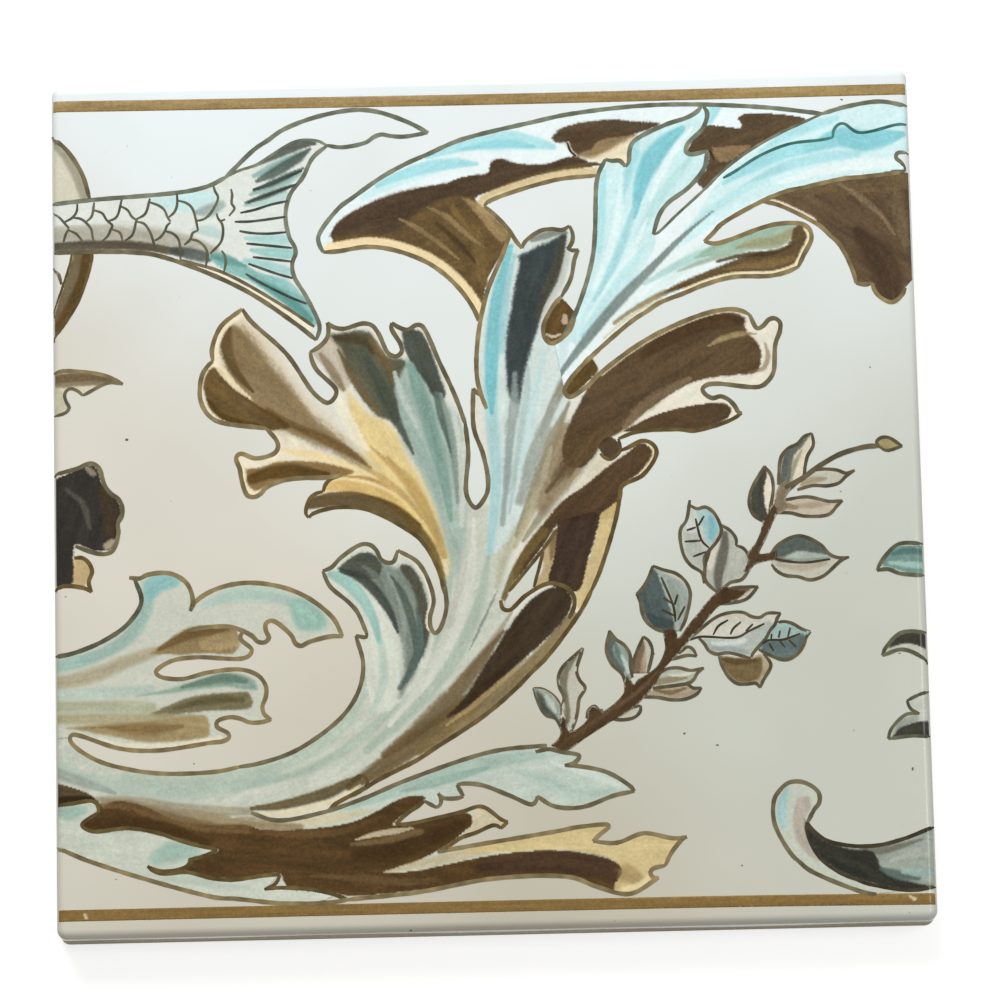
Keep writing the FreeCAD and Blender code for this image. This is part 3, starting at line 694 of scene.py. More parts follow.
PAINT["acanthus_scroll"] = [
    wash("#D8D7CB"),
    patch("#C0C5B6", 1.5, "-12,-1 4,-3 2.5,-18 6,-30 -12,-44 -29,-54 -50,-56 -77,-54 -77,-40 -60,-47 "
        "-44,-46.5 -28,-39 -21,-30 -23,-23 -10,-24 -8,-12"),
    stroke("#AEBCAC", ".6 1 1.2 1.3 1.2 1", "-22,-30 -24,-37 -30,-43 -40,-47.7 -52,-49.5 -64,-48.5", .9),
    stroke("#A9B7A8", ".4 .8 .9 .9 .8 .6", "-6,-8 -8.5,-22 -14,-32.5 -21.5,-41 -31.5,-47.3 -45,-50.8", .9),
    stroke("#B9B9AE", ".4 .7 .8 .5", "-4.6,-1 -4.5,-8 -5.2,-15 -7.5,-23", .9),
    stroke("#A6B5A6", ".4 1 1.2 1.1 .8", "0,-10 -2,-19 -6,-28 -13,-36.5 -22,-44.5", .9),
    stroke("#B3B39A", ".8 1.3 1 .4", "7.5,0 4.5,-5 2.6,-11 1.2,-16", .9),
    stroke("#8E8A70", ".6 .7 .3", "11,-.5 8.5,-4.5 6,-8", .9),
    stroke("#CDD0C4", ".3 .8 .9 .7 .4", "-2.6,-4 -3,-12 -5.5,-22 -10.5,-31.5 -18,-40", .9),
    stroke("#7F8782", ".15 .3 .15", "1.2,-17 -1.5,-22.5 -3.7,-27", .6),
    stroke("#A39787", ".3 .6 .5 .3", "3.7,-20.7 .2,-25.7 -3.5,-30 -7.3,-34", .9),
    stroke("#655438", ".3 1 1.5 1.6 1.2 .6", "2.2,-24 -1.7,-29 -5,-33.3 -8.8,-37.3 -13.5,-41.3 "
        "-19,-45.3", .9),
    stroke("#5E4C2E", "1 1.7 2 1.9 1.5 .8", "1.5,-31.8 -4.4,-37 -9.8,-41 -15,-44.5 -19.8,-47.8 "
        "-25,-50.8", .7),
    stroke("#7A6742", ".7 1.2 1.3 1.1 .8", "14.4,-21.5 8.3,-28.7 2.2,-34.4 -5,-39.9 -13,-44.8", .4),
    patch("#362A1B", .6, "13.6,-16.9 14.3,-18.5 13.2,-21.6 -5.5,-38 -8,-39 -5,-35.7 5,-20.8 8,-17.8 "
        "11,-16.4", .96),
    stroke("#A08A62", ".2 .4 .4 .2", "6,-29 1.5,-33 -3,-36.7 -8,-40.3"),
    # lower leaves
    patch("#C3C9BA", 1, "-77,-50 -60,-53 -45,-56 -30,-57 -15,-51 0,-43 14,-42 28,-50 36,-60 26,-73 "
        "-20,-73 -77,-62"),
    stroke("#A7BAAC", ".6 1.3 1.5 1.2 .8", "-76,-46 -68,-49.3 -58,-51 -48,-50.8 -38,-48.7", cover=.6),
    stroke("#8B968C", "1 .9 .4", "-76.2,-47.3 -72,-48.8 -66,-51", cover=.7),
    stroke("#99937A", ".5 1 1 .9 .6", "-69,-52 -62,-52.7 -55,-53.9 -48,-54.6 -42.5,-54.7", .7),
    stroke("#CBC2A3", ".2 .6 .9 1 .9 .6", "-60,-54.6 -52,-55.9 -44,-56.7 -34,-56.9 -26,-55.9 -19,-53.7", .6),
    stroke("#54462A", ".3 .7 .9 1 .8 .4", "-42.3,-54.2 -38,-53.9 -33,-52.9 -29,-51.8 -25.5,-50.2 "
        "-23.5,-49.4", .5),
    stroke("#DDD2B2", ".3 .6 .6 .4 .2", "-41,-55.3 -35,-55 -30,-53.9 -26,-52.4 -23.3,-50.6", .4),
    # pale leaf to the right
    patch("#B9C5B9", .4, "-30,-55.5 -20,-52.5 -10,-48 0,-44.8 10,-43.5 16,-46 25,-52 20,-55 12,-56.5 "
        "5,-55 -6,-51 -4,-53.5 -9,-55.5 -14,-52.5 -20,-54.5"),
    stroke("#A2B8AB", ".3 1 1.3 1.4 1 .5", "-26,-54.7 -18,-52 -10,-49.6 -3,-47.6 4,-46.4 9,-46", .6),
    stroke("#93ADA0", ".2 .7 .8 .4", "-16,-51.8 -11,-50.7 -6,-49.3 -1,-48", .6),
    stroke("#B0C2B5", ".4 1.3 1.6 1 .4", "3,-48.3 9,-50.5 14,-52.5 18.5,-52.8 21,-52.3"),
    stroke("#CDD6CD", ".3 .8 .5", "10,-47.3 16,-49.2 21.5,-51.7"),
    # brown leaves
    stroke("#8C7D5F", ".8 1.5 1.6 1.5 .8", "-68,-53 -60,-54.3 -51,-56.5 -43,-57.3 -34,-57.8", .9, streak=.5),
    patch("#4E381D", .3, "-68.6,-53.8 -66,-52.4 -61,-53.4 -55.7,-55.9 -48.7,-57 -43,-57.2 -40.3,-58 "
        "-25.3,-57.1 -15,-52.7 -12,-53 -17.8,-57.6 -10.3,-56.5 -7,-55.8 -4.2,-56.2 -4,-57.8 -5.3,-59 "
        "-7.3,-60.7 -13.7,-64.1 -19,-66 -13.7,-65.7 -.3,-63.3 9.7,-62.7 15,-63.3 21,-65.2 21.8,-66.4 "
        "21.5,-69.1 20,-70 15,-68.7 9.7,-67.7 -3.7,-68 -13.7,-69.2 -25.7,-69.8 -29.5,-69 -36,-68.3 "
        "-37.6,-65.8 -45,-66.5 -54,-64.8 -53,-63 -48.2,-61.5 -55.7,-59.3 -61.7,-57.5 -70,-57.8 "
        "-71.9,-56.5", .97),
    stroke("#6F583A", ".5 .9 1 .9 .7", "-68,-53.3 -63,-53.3 -58,-55.3 -51,-57 "
        "-43,-57.8", .9, cover=.75, streak=.5),
    stroke("#3F2C14", ".8 1.3 1.2 .8", "-70.5,-56.5 -64,-56.2 -57,-57.6 -50,-60.2", cover=.6),
    stroke("#654E30", ".3 .7 .6 .3", "-40,-58.6 -33,-59 -26,-58.4 -20,-56.2", .9, cover=.6),
    stroke("#6B5638", ".3 .7 .7 .4", "-32,-66.2 -24,-66.8 -16,-67.6 -10,-67.5", .9, cover=.5),
    stroke("#3A2814", "1 1.8 1.6 .8", "-24,-62.8 -17,-61.8 -10.5,-59.8 -6,-57.9", cover=.6),
    stroke("#7C6849", ".2 .6 .5", "-25,-60.9 -19,-60.2 -13,-59", .9, cover=.6),
    stroke("#C6BB9E", ".15 .5 .55 .2", "-24.3,-60.1 -20.5,-59.2 -17.5,-58.8 -14.3,-58.3", .5),
    stroke("#443224", ".8 1.7 2 2 1.6", "-3,-65.5 5,-64.9 12,-64.9 18,-66 20.3,-67.3", .6),
    patch("#CBBFA0", .3, "-4,-56.2 -3.5,-54.5 -1,-54.7 2.5,-57.5 .8,-59 -1.3,-58.6 -4.2,-59.8 -5.5,-59.6 "
        "-4,-57.8"),
    stroke("#BDB190", ".2 .8 1 .7", "-19.3,-65.9 -13,-64.6 -7,-63.3 0,-62.2", .5),
    # ochre tip
    patch("#CDB883", .4, "-6,-62.8 -1.3,-60.9 8,-59.5 19.8,-58 17,-61.5 21,-61.9 25.7,-59.5 33,-60.5 "
        "30,-64 29.3,-66 26.9,-66.6 28,-68.2 24.3,-70.5 22,-70.8 20.3,-69.6 21.8,-66.5 20,-64.5 "
        "12.3,-62.7 3,-62.8"),
    stroke("#8E7750", "1.4 1.2", "22.6,-67 24,-67.9", .95, cover=.65),
    stroke("#E2D2A8", ".3 .6 .4", "22,-69.8 24.5,-69.2 26.3,-67.8", cover=.7),
    # far left
    patch("#4F4029", .3, "-77,-48.7 -70.3,-51.2 -68.2,-53.4 -68.7,-54.3 -69.6,-52.6 -72,-52.5 "
        "-77,-53.1", .95),
    stroke("#2A2010", ".7 .6 .4", "-76.3,-52.2 -73,-51.9 -70,-51.9", .7),
    stroke("#96B3A6", "1.4 2 1.2", "-58.5,-62.4 -56,-61.6 -52.5,-61.3", .9, cover=.8),
    stroke("#96B3A6", "1 1.4 .7", "-76,-54 -74,-54.2 -71.5,-53.9", .9, cover=.8),
    stroke("#B3C0B2", ".5 1 .8 .4", "-57,-66 -53,-66.4 -48,-67.6 -43,-68", .9, cover=.6),
    # left lobes
    patch("#E6DCC4", 1, "-52,26 -43,37 -38,30 -40,24 -44,18 -36,12.5 -28,8 -24,4 -33,2 -46,-1 -46,10 "
        "-37,12 -53,12"),
    patch("#E2CE9C", 1, "-37,9.5 -30,8.6 -19,4.5 -14,0 -9.5,-7 -7.5,-14 -8.7,-15 -12,-6 -20,.6 -25,1.8 "
        "-29.5,1 -27,3.6 -24.5,4.8 -28,7 -33,8"),
    patch("#CDAE6E", .6, "-28.8,2 -27,3.5 -19,2 -14.5,-1 -11,-5 -8.5,-10 -14.5,-3.8 -18.5,-.9 -23,.9"),
    stroke("#A98649", ".15 .35 .4 .2", "-26,4.3 -21,3.7 -16,1.3 -12,-2.3", .7),
    patch("#D3C8B0", 2, "-42.5,34 -39.5,30.5 -31.5,19 -27,13.7 -22.5,9.3 -27,10.8 -33,15.5 -41,27"),
    patch("#7F6A47", 1.8, "-46.6,31 -44.8,32.4 -42.7,31.5 -37,24 -34,20.4 -31,16 -20.3,5.4 -31,10.5 "
        "-36.5,13 -44.5,21.5 -46.5,26.5"),
    stroke("#59472A", ".6 1.1 1 .7 .3", "-45.2,31.3 -45.7,28.5 -45,25.3 -43.3,22.5 -41,19.8"),
    stroke("#6B5430", ".3 .7 .8 .7 .3", "-38.5,16.6 -34,13.6 -29,11.3 -24.5,8.8 -20.5,5.7", .6, streak=.5),
    patch("#594320", .5, "-49.8,20.7 -49.3,22.7 -48,24.4 -46.7,24 -45.4,22 -40.5,17.6 -37,15.5 -34.5,13.3 "
        "-38.5,12.7 -42,13.6 -46,14.6 -48.6,16.8"),
    stroke("#4F3B19", ".3 .5 .5 .3", "-49,18.5 -46.5,15.6 -42.5,14.2 -38.3,13.2"),
    stroke("#EBDDB9", ".5 .7 .5 .15", "-47.7,25.6 -46.1,23.3 -43.8,20.6 -41.2,18.4", .3, streak=0),
    rim("#EDE1C6", 1.2, "scroll.lobe_a_left", "-42.7,34.8 -48,25.5"),
    patch("#7D6237", .6, "-42.5,6 -40,6.2 -37,7 -30,6.9 -23.5,5 -25.5,4.2 -36,3.8 -38.7,2.9 -40.7,2 -42,3"),
    stroke("#523D1D", "1 1.2 1.2 .9 .4", "-41.3,4.2 -38.5,5 -35,5.4 -31.5,5.2 -28,4.7", .7),
    rim("#EADCB8", .7, "scroll.lobe_e", "-43.9,8.4 -40.5,1"),
    # ochre flow
    patch("#DDC586", 1.6, "-24.7,20.2 -20.8,15.5 -18.3,14.3 -16,12 -12.5,5 -10.3,1 -6.5,-13 -9.5,-8.5 "
        "-16,.5 -19.5,4.5 -23.7,13"),
    stroke("#AE935C", ".3 .9 1.2 1 .5", "-17.5,7.5 -14.5,3.5 -11.7,-1 -9.3,-6 -7.9,-10.5", .9, streak=.4),
    stroke("#B99B60", ".2 .5 .5 .2", "-20.5,9.5 -16.8,6 -13.2,1.8 -10.3,-3"),
    stroke("#E9E2CB", ".8 1.2 1.1 .4", "-26.3,19 -25.2,15.5 -23.3,11.7 -21,9", .9),
    stroke("#B59A64", ".2 .5 .6 .2", "-23,6.4 -18.8,4 -14.5,.3 -11,-4.3"),
    stroke("#4C3A1A", "1 1.3 1.4 1.5 1.3", "-31.2,-.5 -27,.1 -22,-.3 -17,-2.2 -13,-5.3", .35),
    stroke("#66532D", "1.2 1.2 1.1 .9 .5", "-13.7,-5 -12,-6.7 -10,-10 -8.6,-14.5 -7.8,-19", .5),
    # middle lobes
    patch("#9DAFA4", 1.4, "-18,23 -12.5,25.5 -8,18 -4.7,14 -4.3,-8 -6,-14 -7.5,-8 -10,0 -15.8,13"),
    patch("#B5AB98", .8, "-31,27 -26.5,29.5 -23.8,21 -25.8,19.8 -27.5,22.7"),
    stroke("#85775E", ".3 .7 .8 .4", "-29,26.3 -27.7,24.3 -26.3,22 -25,19.8"),
    patch("#4A4A37", 1, "-27.4,29.7 -24.5,30.3 -20.3,30.1 -18.8,27.5 -17.5,25.6 -14,24.7 -15,22.3 "
        "-16,19.5 -15.3,16.5 -15.5,13.3 -17,14 -19.3,15 -23.2,20.3 -24.5,23.5 -25.2,26.5"),
    stroke("#4A412D", ".6 1 .9 .4", "-26.3,29.2 -23.7,29 -21.3,28.4 -19.7,26.3", streak=.4),
    stroke("#434A40", ".4 1 1.2 1 .6 .3", "-21.6,27 -19.6,22.7 -18,19 -16.5,15.7 -14.8,12 "
        "-13,8", streak=.5),
    stroke("#66563A", ".3 .6 .7 .4", "-25.8,27 -24,23.2 -21.7,19.2 -19,15.6"),
    stroke("#675639", ".4 .8 .8 .4", "-20.2,29.3 -18.6,26.4 -17,23.6 -16.2,21"),
    stroke("#B9C7BE", ".3 .6 .6 .4", "-16,22.7 -15.2,20 -14,16.8 -12.3,13", .7),
    stroke("#94A79E", ".3 .8 1 .8 .4", "-15.2,16.7 -13.7,13 -11.7,8.7 -9.7,4 -8.3,-1", streak=.4),
    patch("#373D34", .6, "-14.5,30.2 -12.5,30.5 -10.9,29.6 -7.9,21.3 -7.1,18.7 -7.6,17.5 -9.3,18.3 "
        "-10.4,20.4 -14,26.7"),
    stroke("#7C8C82", ".4 .8 .8 .6 .3", "-8,18.5 -7.3,14.5 -6.3,10 -5.6,5 -5.3,-1", streak=.4),
    stroke("#76968B", ".6 1.3 1.4 1.3 1.1 .8 .4", "-13.2,24 -12,20 -10.5,15.7 -9.4,11 -8.2,6 -7.3,1 "
        "-6.6,-4", .7),
    stroke("#54645B", ".5 .7 .4 .1", "-8.7,18.5 -8,14.7 -6.9,10.5 -6.1,7"),
    stroke("#C5CBC3", ".3 .6 .6 .4", "-6,16.5 -4.9,10 -4.5,3 -4.7,-5"),
    # tall lobe
    patch("#CBDAD6", 1, "4.5,46 16,49 17.5,44 14,36 16.5,32 13.5,27.5 14.7,17 10,8 6,-3 1,-10 0,-2 1.5,10 "
        "-.7,16 -1,30"),
    stroke("#A3C9CA", ".8 1.2 1.2 1.1 .9 .6", "1.4,25 .9,19 1.1,12 1.5,5 1,-3 0,-10", .7),
    stroke("#6FB6BE", ".5 .8 1.2 1.3 1.2 1 .4", "5,45 3.5,40 2.3,35 1.6,30 1.2,25 1,20 1,15", .6),
    stroke("#9FC9CE", ".3 .7 .8 .5", "5.6,43.5 4.3,38 3.5,32 3,26"),
    patch("#2B3233", .9, "6.2,43.3 13,46.4 14.9,47.2 14.7,44.5 14.2,41.3 9.9,31.2 6.6,21 5.8,16.5 "
        "4.4,17.5 3.7,26 5.5,38 6.4,42"),
    stroke("#777B70", ".4 .7 .6 .4", "8.8,46.2 11,46.9 13,47.4 14.8,47.3"),
    stroke("#807D68", ".9 1 .8 .4", "16.8,25.2 14.3,20.8 11.8,16 9.5,11", .9),
    stroke("#4B493C", ".3 .8 .9 .4", "14.3,46.8 13.4,42 11.4,37 9.5,32.5"),
    stroke("#8D9995", ".5 .9 .8 .7 .4", "5.2,22 4.8,16 4,9.5 3.4,3 2.4,-5", .9, streak=.5),
    stroke("#A9BDB8", ".3 .7 .8 .6 .3", "7.6,23 7.2,17.5 6,10.5 4.9,4 3.7,-3", .9),
    stroke("#C0D8D6", ".4 .8 .8 .4", "10.5,26 8.8,19 7.4,12 5.6,4", .9),
    stroke("#959C92", ".3 1 1.2 .8", "12.4,17.3 9.8,11.5 7.4,5.5 5.6,-1", .9, streak=.5),
    stroke("#85806A", ".3 .9 1.1 .9 .4", "14.7,16.5 11.8,10.3 9.3,4.5 7.3,-1.5 5,-7", .9, streak=.5),
    stroke("#A9A183", ".3 .8 .8 .4", "11,6.5 9.3,2 7.3,-3 4.5,-9", .9),
    stroke("#C3C5BC", ".3 .6 .6 .3", "15.3,46 15,43.3 13.6,38.3 11.3,34 9.9,30.5", .6),
    # drop
    patch("#5A4424", .3, "13.8,35.4 11.2,32.3 10.7,28.7 12.3,27.5 15,29.6 16.2,32.7 15,34.5", .97),
    stroke("#D9CDB8", ".2 .3 .2", "11,29 12,28.5 13.3,28.9", .7),
    stroke("#CDB5A0", ".4 .55", "14.3,32.2 14.2,31.2", .6, streak=0),
    # right lobes
    patch("#55411F", .3, EYE, .97),
    patch("#E0DBCA", .6, "24,9.5 30,10.5 37,10.5 46,13.5 44,17 39.5,17 39,18.5 48,18 52,20 53,30 50,32 "
        "46,32.5 46,28 38,20 30,16.5 24,13"),
    patch("#85765A", 2, "13.5,13 20,12 19,7.5 12.5,-.5 9.5,-3.5 8.5,-2 11.5,9"),
    patch("#52402A", .5, "17,17.5 19.5,20.8 27,26.9 35,31.2 44,32.2 45.8,31.2 46,29.6 46.6,28.2 47.8,27.1 "
        "48.7,25.3 48.2,21.7 46.8,21 44,20.9 36.5,19.7 27,13.8 24.5,11.8 20,8.8 18.5,6.5 16.5,4.8 "
        "13.8,5.5 13.2,8.5 14.7,13", .96),
    stroke("#5A4930", "1.2 1.4 1.1 .3", "17.5,10.5 14.8,6.7 12.8,3.7 10.3,.6", .95, streak=.6),
    stroke("#A9A088", ".3 .6 .4", "11.3,8.5 9.8,3.5 8,-1.5", .9, streak=.5),
    stroke("#75634C", ".3 1 1 .5", "36,20.4 31.5,18.2 27.5,15.3 24.5,12.3", .9, streak=.5),
    stroke("#46331E", ".8 1.6 1.5 .8", "45.5,30.7 40,30.5 34,28.5 28,25", cover=.7),
    stroke("#97845F", ".15 .5 .5 .15", "48,28.2 45,28.3 42,27.5 39.3,26.2", .6),
    stroke("#7F6B4C", ".2 .5 .5 .2", "49.5,26.5 49.9,24 49,22 46.5,21.4", cover=.6),
    rim("#CFC3A6", .62, "frond.lobe", "20.5,22 45.7,32.4"),
    patch("#43311C", .3, "23.5,11 31,14.4 42,15.8 43.2,14.7 42.5,13.2 37,11.2 32,11.3"),
    patch("#D5CDB6", .6, "14.3,.2 17,3.3 19.6,6.8 21.5,6 22.7,6 20,3.9 17,1.5"),
    patch("#3F2D1A", .25, "19.7,8.3 20.3,9.6 21.6,10.2 22.9,9.6 23.4,8.2 22.7,6.8 21.6,6.3 20.4,6.9"),
    patch("#4B3722", .4, "28.9,8.5 29.4,7 28.3,5 25.5,2.8 23.5,1.5 22.3,-4 18,-4.5 12.5,-5 9.5,-9 4.3,-15 "
        "4.5,-12.4 7,-8.3 10,-4.6 13,-1.1 17,1.6 21,4.8 24.5,7.2 27,9", .96),
    rim("#E2D6B4", .75, "scroll.lobe_i", "28.7,9.1 27.3,3.3"),
    stroke("#67572F", ".9 .9 .8 .7", "9.5,-6.5 7,-9.6 4.6,-13.3 2.6,-18", .4),
    # stalk
    patch("#C4AF7C", .25, "19.6,-3.6 23.3,-1.3 22.3,-6 17.7,-18 15.5,-20.5 15,-17 17.5,-11.3 18.7,-7.7"),
    patch("#B09B70", .4, "12,-6 9.5,-9.5 9.3,-13 8,-16.2 10.6,-15.4 11.4,-11.3"),
    stroke("#7A6444", ".5 .7 .2", "11.6,-6.6 11.2,-9 10.8,-11.5"),
    patch("#3D2D22", .25, "12.2,-4.5 19.3,-3.5 18.6,-7.7 17.4,-11.3 15.2,-17.2 10.4,-15.4 11.3,-11.3", .97),
    patch(None, .2, "9.2,-10 9,-13 7.9,-16 5,-18.7 2.6,-19.8 3.4,-17 6,-14", 1),
    # side leaf
    patch("#CDD1C4", .8, "-30,-12 -22,-7 -16,-8 -10,-14 -10,-26 -14,-34 -20,-38 -22,-30 -23,-22 -28,-15"),
    stroke("#B4C4B7", ".4 .7 .8 .5", "-20,-23 -19,-27.5 -19,-32.5 -21,-38", .9),
    stroke("#93BBB2", ".6 1.2 1.2 1 .8 .4", "-28,-13.2 -26,-14 -23.7,-16 -21.7,-18.8 -20.3,-22 "
        "-19.5,-25.5", .5),
    patch("#727C72", 1.4, "-25.5,-12 -22,-9.6 -19.3,-10.5 -17,-12.3 -14,-12.3 -11.6,-16 -11.2,-25.5 "
        "-16.2,-35.3 -15.3,-30 -16.2,-24 -21.3,-15.3"),
    stroke("#949E94", ".2 .5 .5 .2", "-17.8,-13.3 -16,-17 -15.2,-21.5 -15.2,-27"),
    patch("#484B40", .5, "-26.6,-12.3 -24.2,-10.3 -22,-9.4 -20.3,-9.8 -18.9,-12 -19.6,-14 -21.3,-14 "
        "-23,-13.9", .95),
    stroke("#363D37", ".4 .8 .9 .8 .6 .3", "-26,-12.6 -23,-13.7 -20.7,-15.6 -18.9,-18 -17.4,-20.6 "
        "-16.3,-23.7", .5),
    stroke("#6E776D", ".3 .6 .3", "-22,-12 -20.3,-13.2 -18.7,-15.2", .9),
    stroke("#4A554D", ".2 .6 .7 .6 .3", "-17.3,-13.7 -15.5,-16.7 -14.2,-20.2 -13.4,-24 "
        "-13.2,-28", .6, streak=.4),
    patch("#4B4A3E", .5, "-15.8,-11.9 -14.5,-11.8 -12.9,-13.2 -11.1,-18.2 -10.9,-21 -10.8,-24 -12.5,-29 "
        "-16,-34 -13.2,-26 -12.8,-18.5 -13.8,-15.5 -15.2,-13.3", .95),
    stroke("#536661", ".2 .5 .7 .6 .3", "-12.9,-19.5 -12.4,-23.5 -12.7,-27 -14,-30.3 -16.3,-33.8", .7),
    rim("#DAD4C0", .75, "scroll.side_leaf", "-16,-9.2 -10.5,-23"),
]

PAINT["left_leaf"] = [
    wash("#C3C7B8"),
    stroke("#A9C0B4", ".6 1.3 1.3 .8", "-50,-18.3 -45,-16.6 -39,-16.8 -33,-18.5", .9),
    stroke("#93B0A7", ".8 1.1 1.2 1.1 1", "-59.9,-15.5 -60.4,-19 -63.5,-23.6 -69,-26.8 -76.2,-28.6"),
    patch("#86B5B3", 1.2, "-60.6,-14 -59,-12.8 -56,-12.5 -54,-13.3 -54.7,-14.7 -57.3,-15.5 -59.7,-17.5"),
    patch("#8FB3A6", 1.2, "-35.3,-18.3 -33,-17.3 -28.8,-20.8 -29,-22.6 -33.5,-22.9"),
    # brown finger
    stroke("#A69D81", "1.1 1.1 1.1 .9 .6", "-76.2,-31.5 -70,-30.3 -64,-28.2 -59.5,-26.6 "
        "-56.5,-25.8", streak=.4),
    patch("#846F49", .7, "-59.5,-26.6 -52.3,-22.2 -45.3,-22.3 -44.2,-23.3 -44.7,-26.7 -50,-26.7 -54,-26.9"),
    stroke("#A9946C", ".7 1.4 1.2", "-50.5,-25.3 -47.5,-24.6 -45,-24.7"),
    stroke("#6B5330", ".3 .8 1.1 .8 .3", "-58,-25.9 -55,-24.3 -52,-23.2 -49,-22.8 -46,-22.6", .7, streak=.4),
    # grey-green finger
    stroke("#AFBFB3", ".8 1 .9", "-76.2,-33.4 -67,-33.3 -59.5,-32.9", .9),
    patch("#839B8C", .8, "-62,-34 -56,-32.8 -47,-30.5 -44,-30.5 -41.7,-31.5 -41,-33.3 -47,-32.7 -57,-33.7"),
    stroke("#5F7566", ".3 .7 .9 .4", "-54,-32.6 -50,-31.7 -46.5,-31.2 -43,-31.8", streak=.4),
    # olive finger
    stroke("#A5A78B", "1 1.1 1", "-76.2,-35.6 -68,-35.7 -59.5,-36.2", .9),
    patch("#6D6446", .6, "-59.5,-37.2 -53,-34.5 -45,-33.7 -42.5,-33.9 -42,-36.4 -49,-36.9 -54,-37.3 "
        "-58,-37.8"),
    stroke("#5F573A", ".3 .7 .8 .4", "-55.5,-36.4 -51,-35.4 -47,-35 -43.5,-35.2", streak=.4),
    # lower finger
    stroke("#A39C79", ".9 1 .9 .4", "-76.2,-37.8 -68,-37.9 -60,-38 -52,-37.8"),
    patch("#97835A", .7, "-74.3,-39.4 -66,-38.7 -60,-38.5 -53,-37.9 -50,-37.9 -49.5,-41.2 -51.5,-41.8 "
        "-61,-42.1 -65,-41.3"),
    stroke("#846C45", ".1 .3 .9 1.2 .8 .3", "-72,-39.6 -67.5,-39.4 -63,-39.8 -59,-40 -56,-39.8 "
        "-54,-39.5", .7, streak=.5),
    stroke("#DDD5BD", ".2 .4 .4 .4", "-72.5,-40.5 -64,-42.6 -54,-42.7 -47.5,-41.7", .5),
]

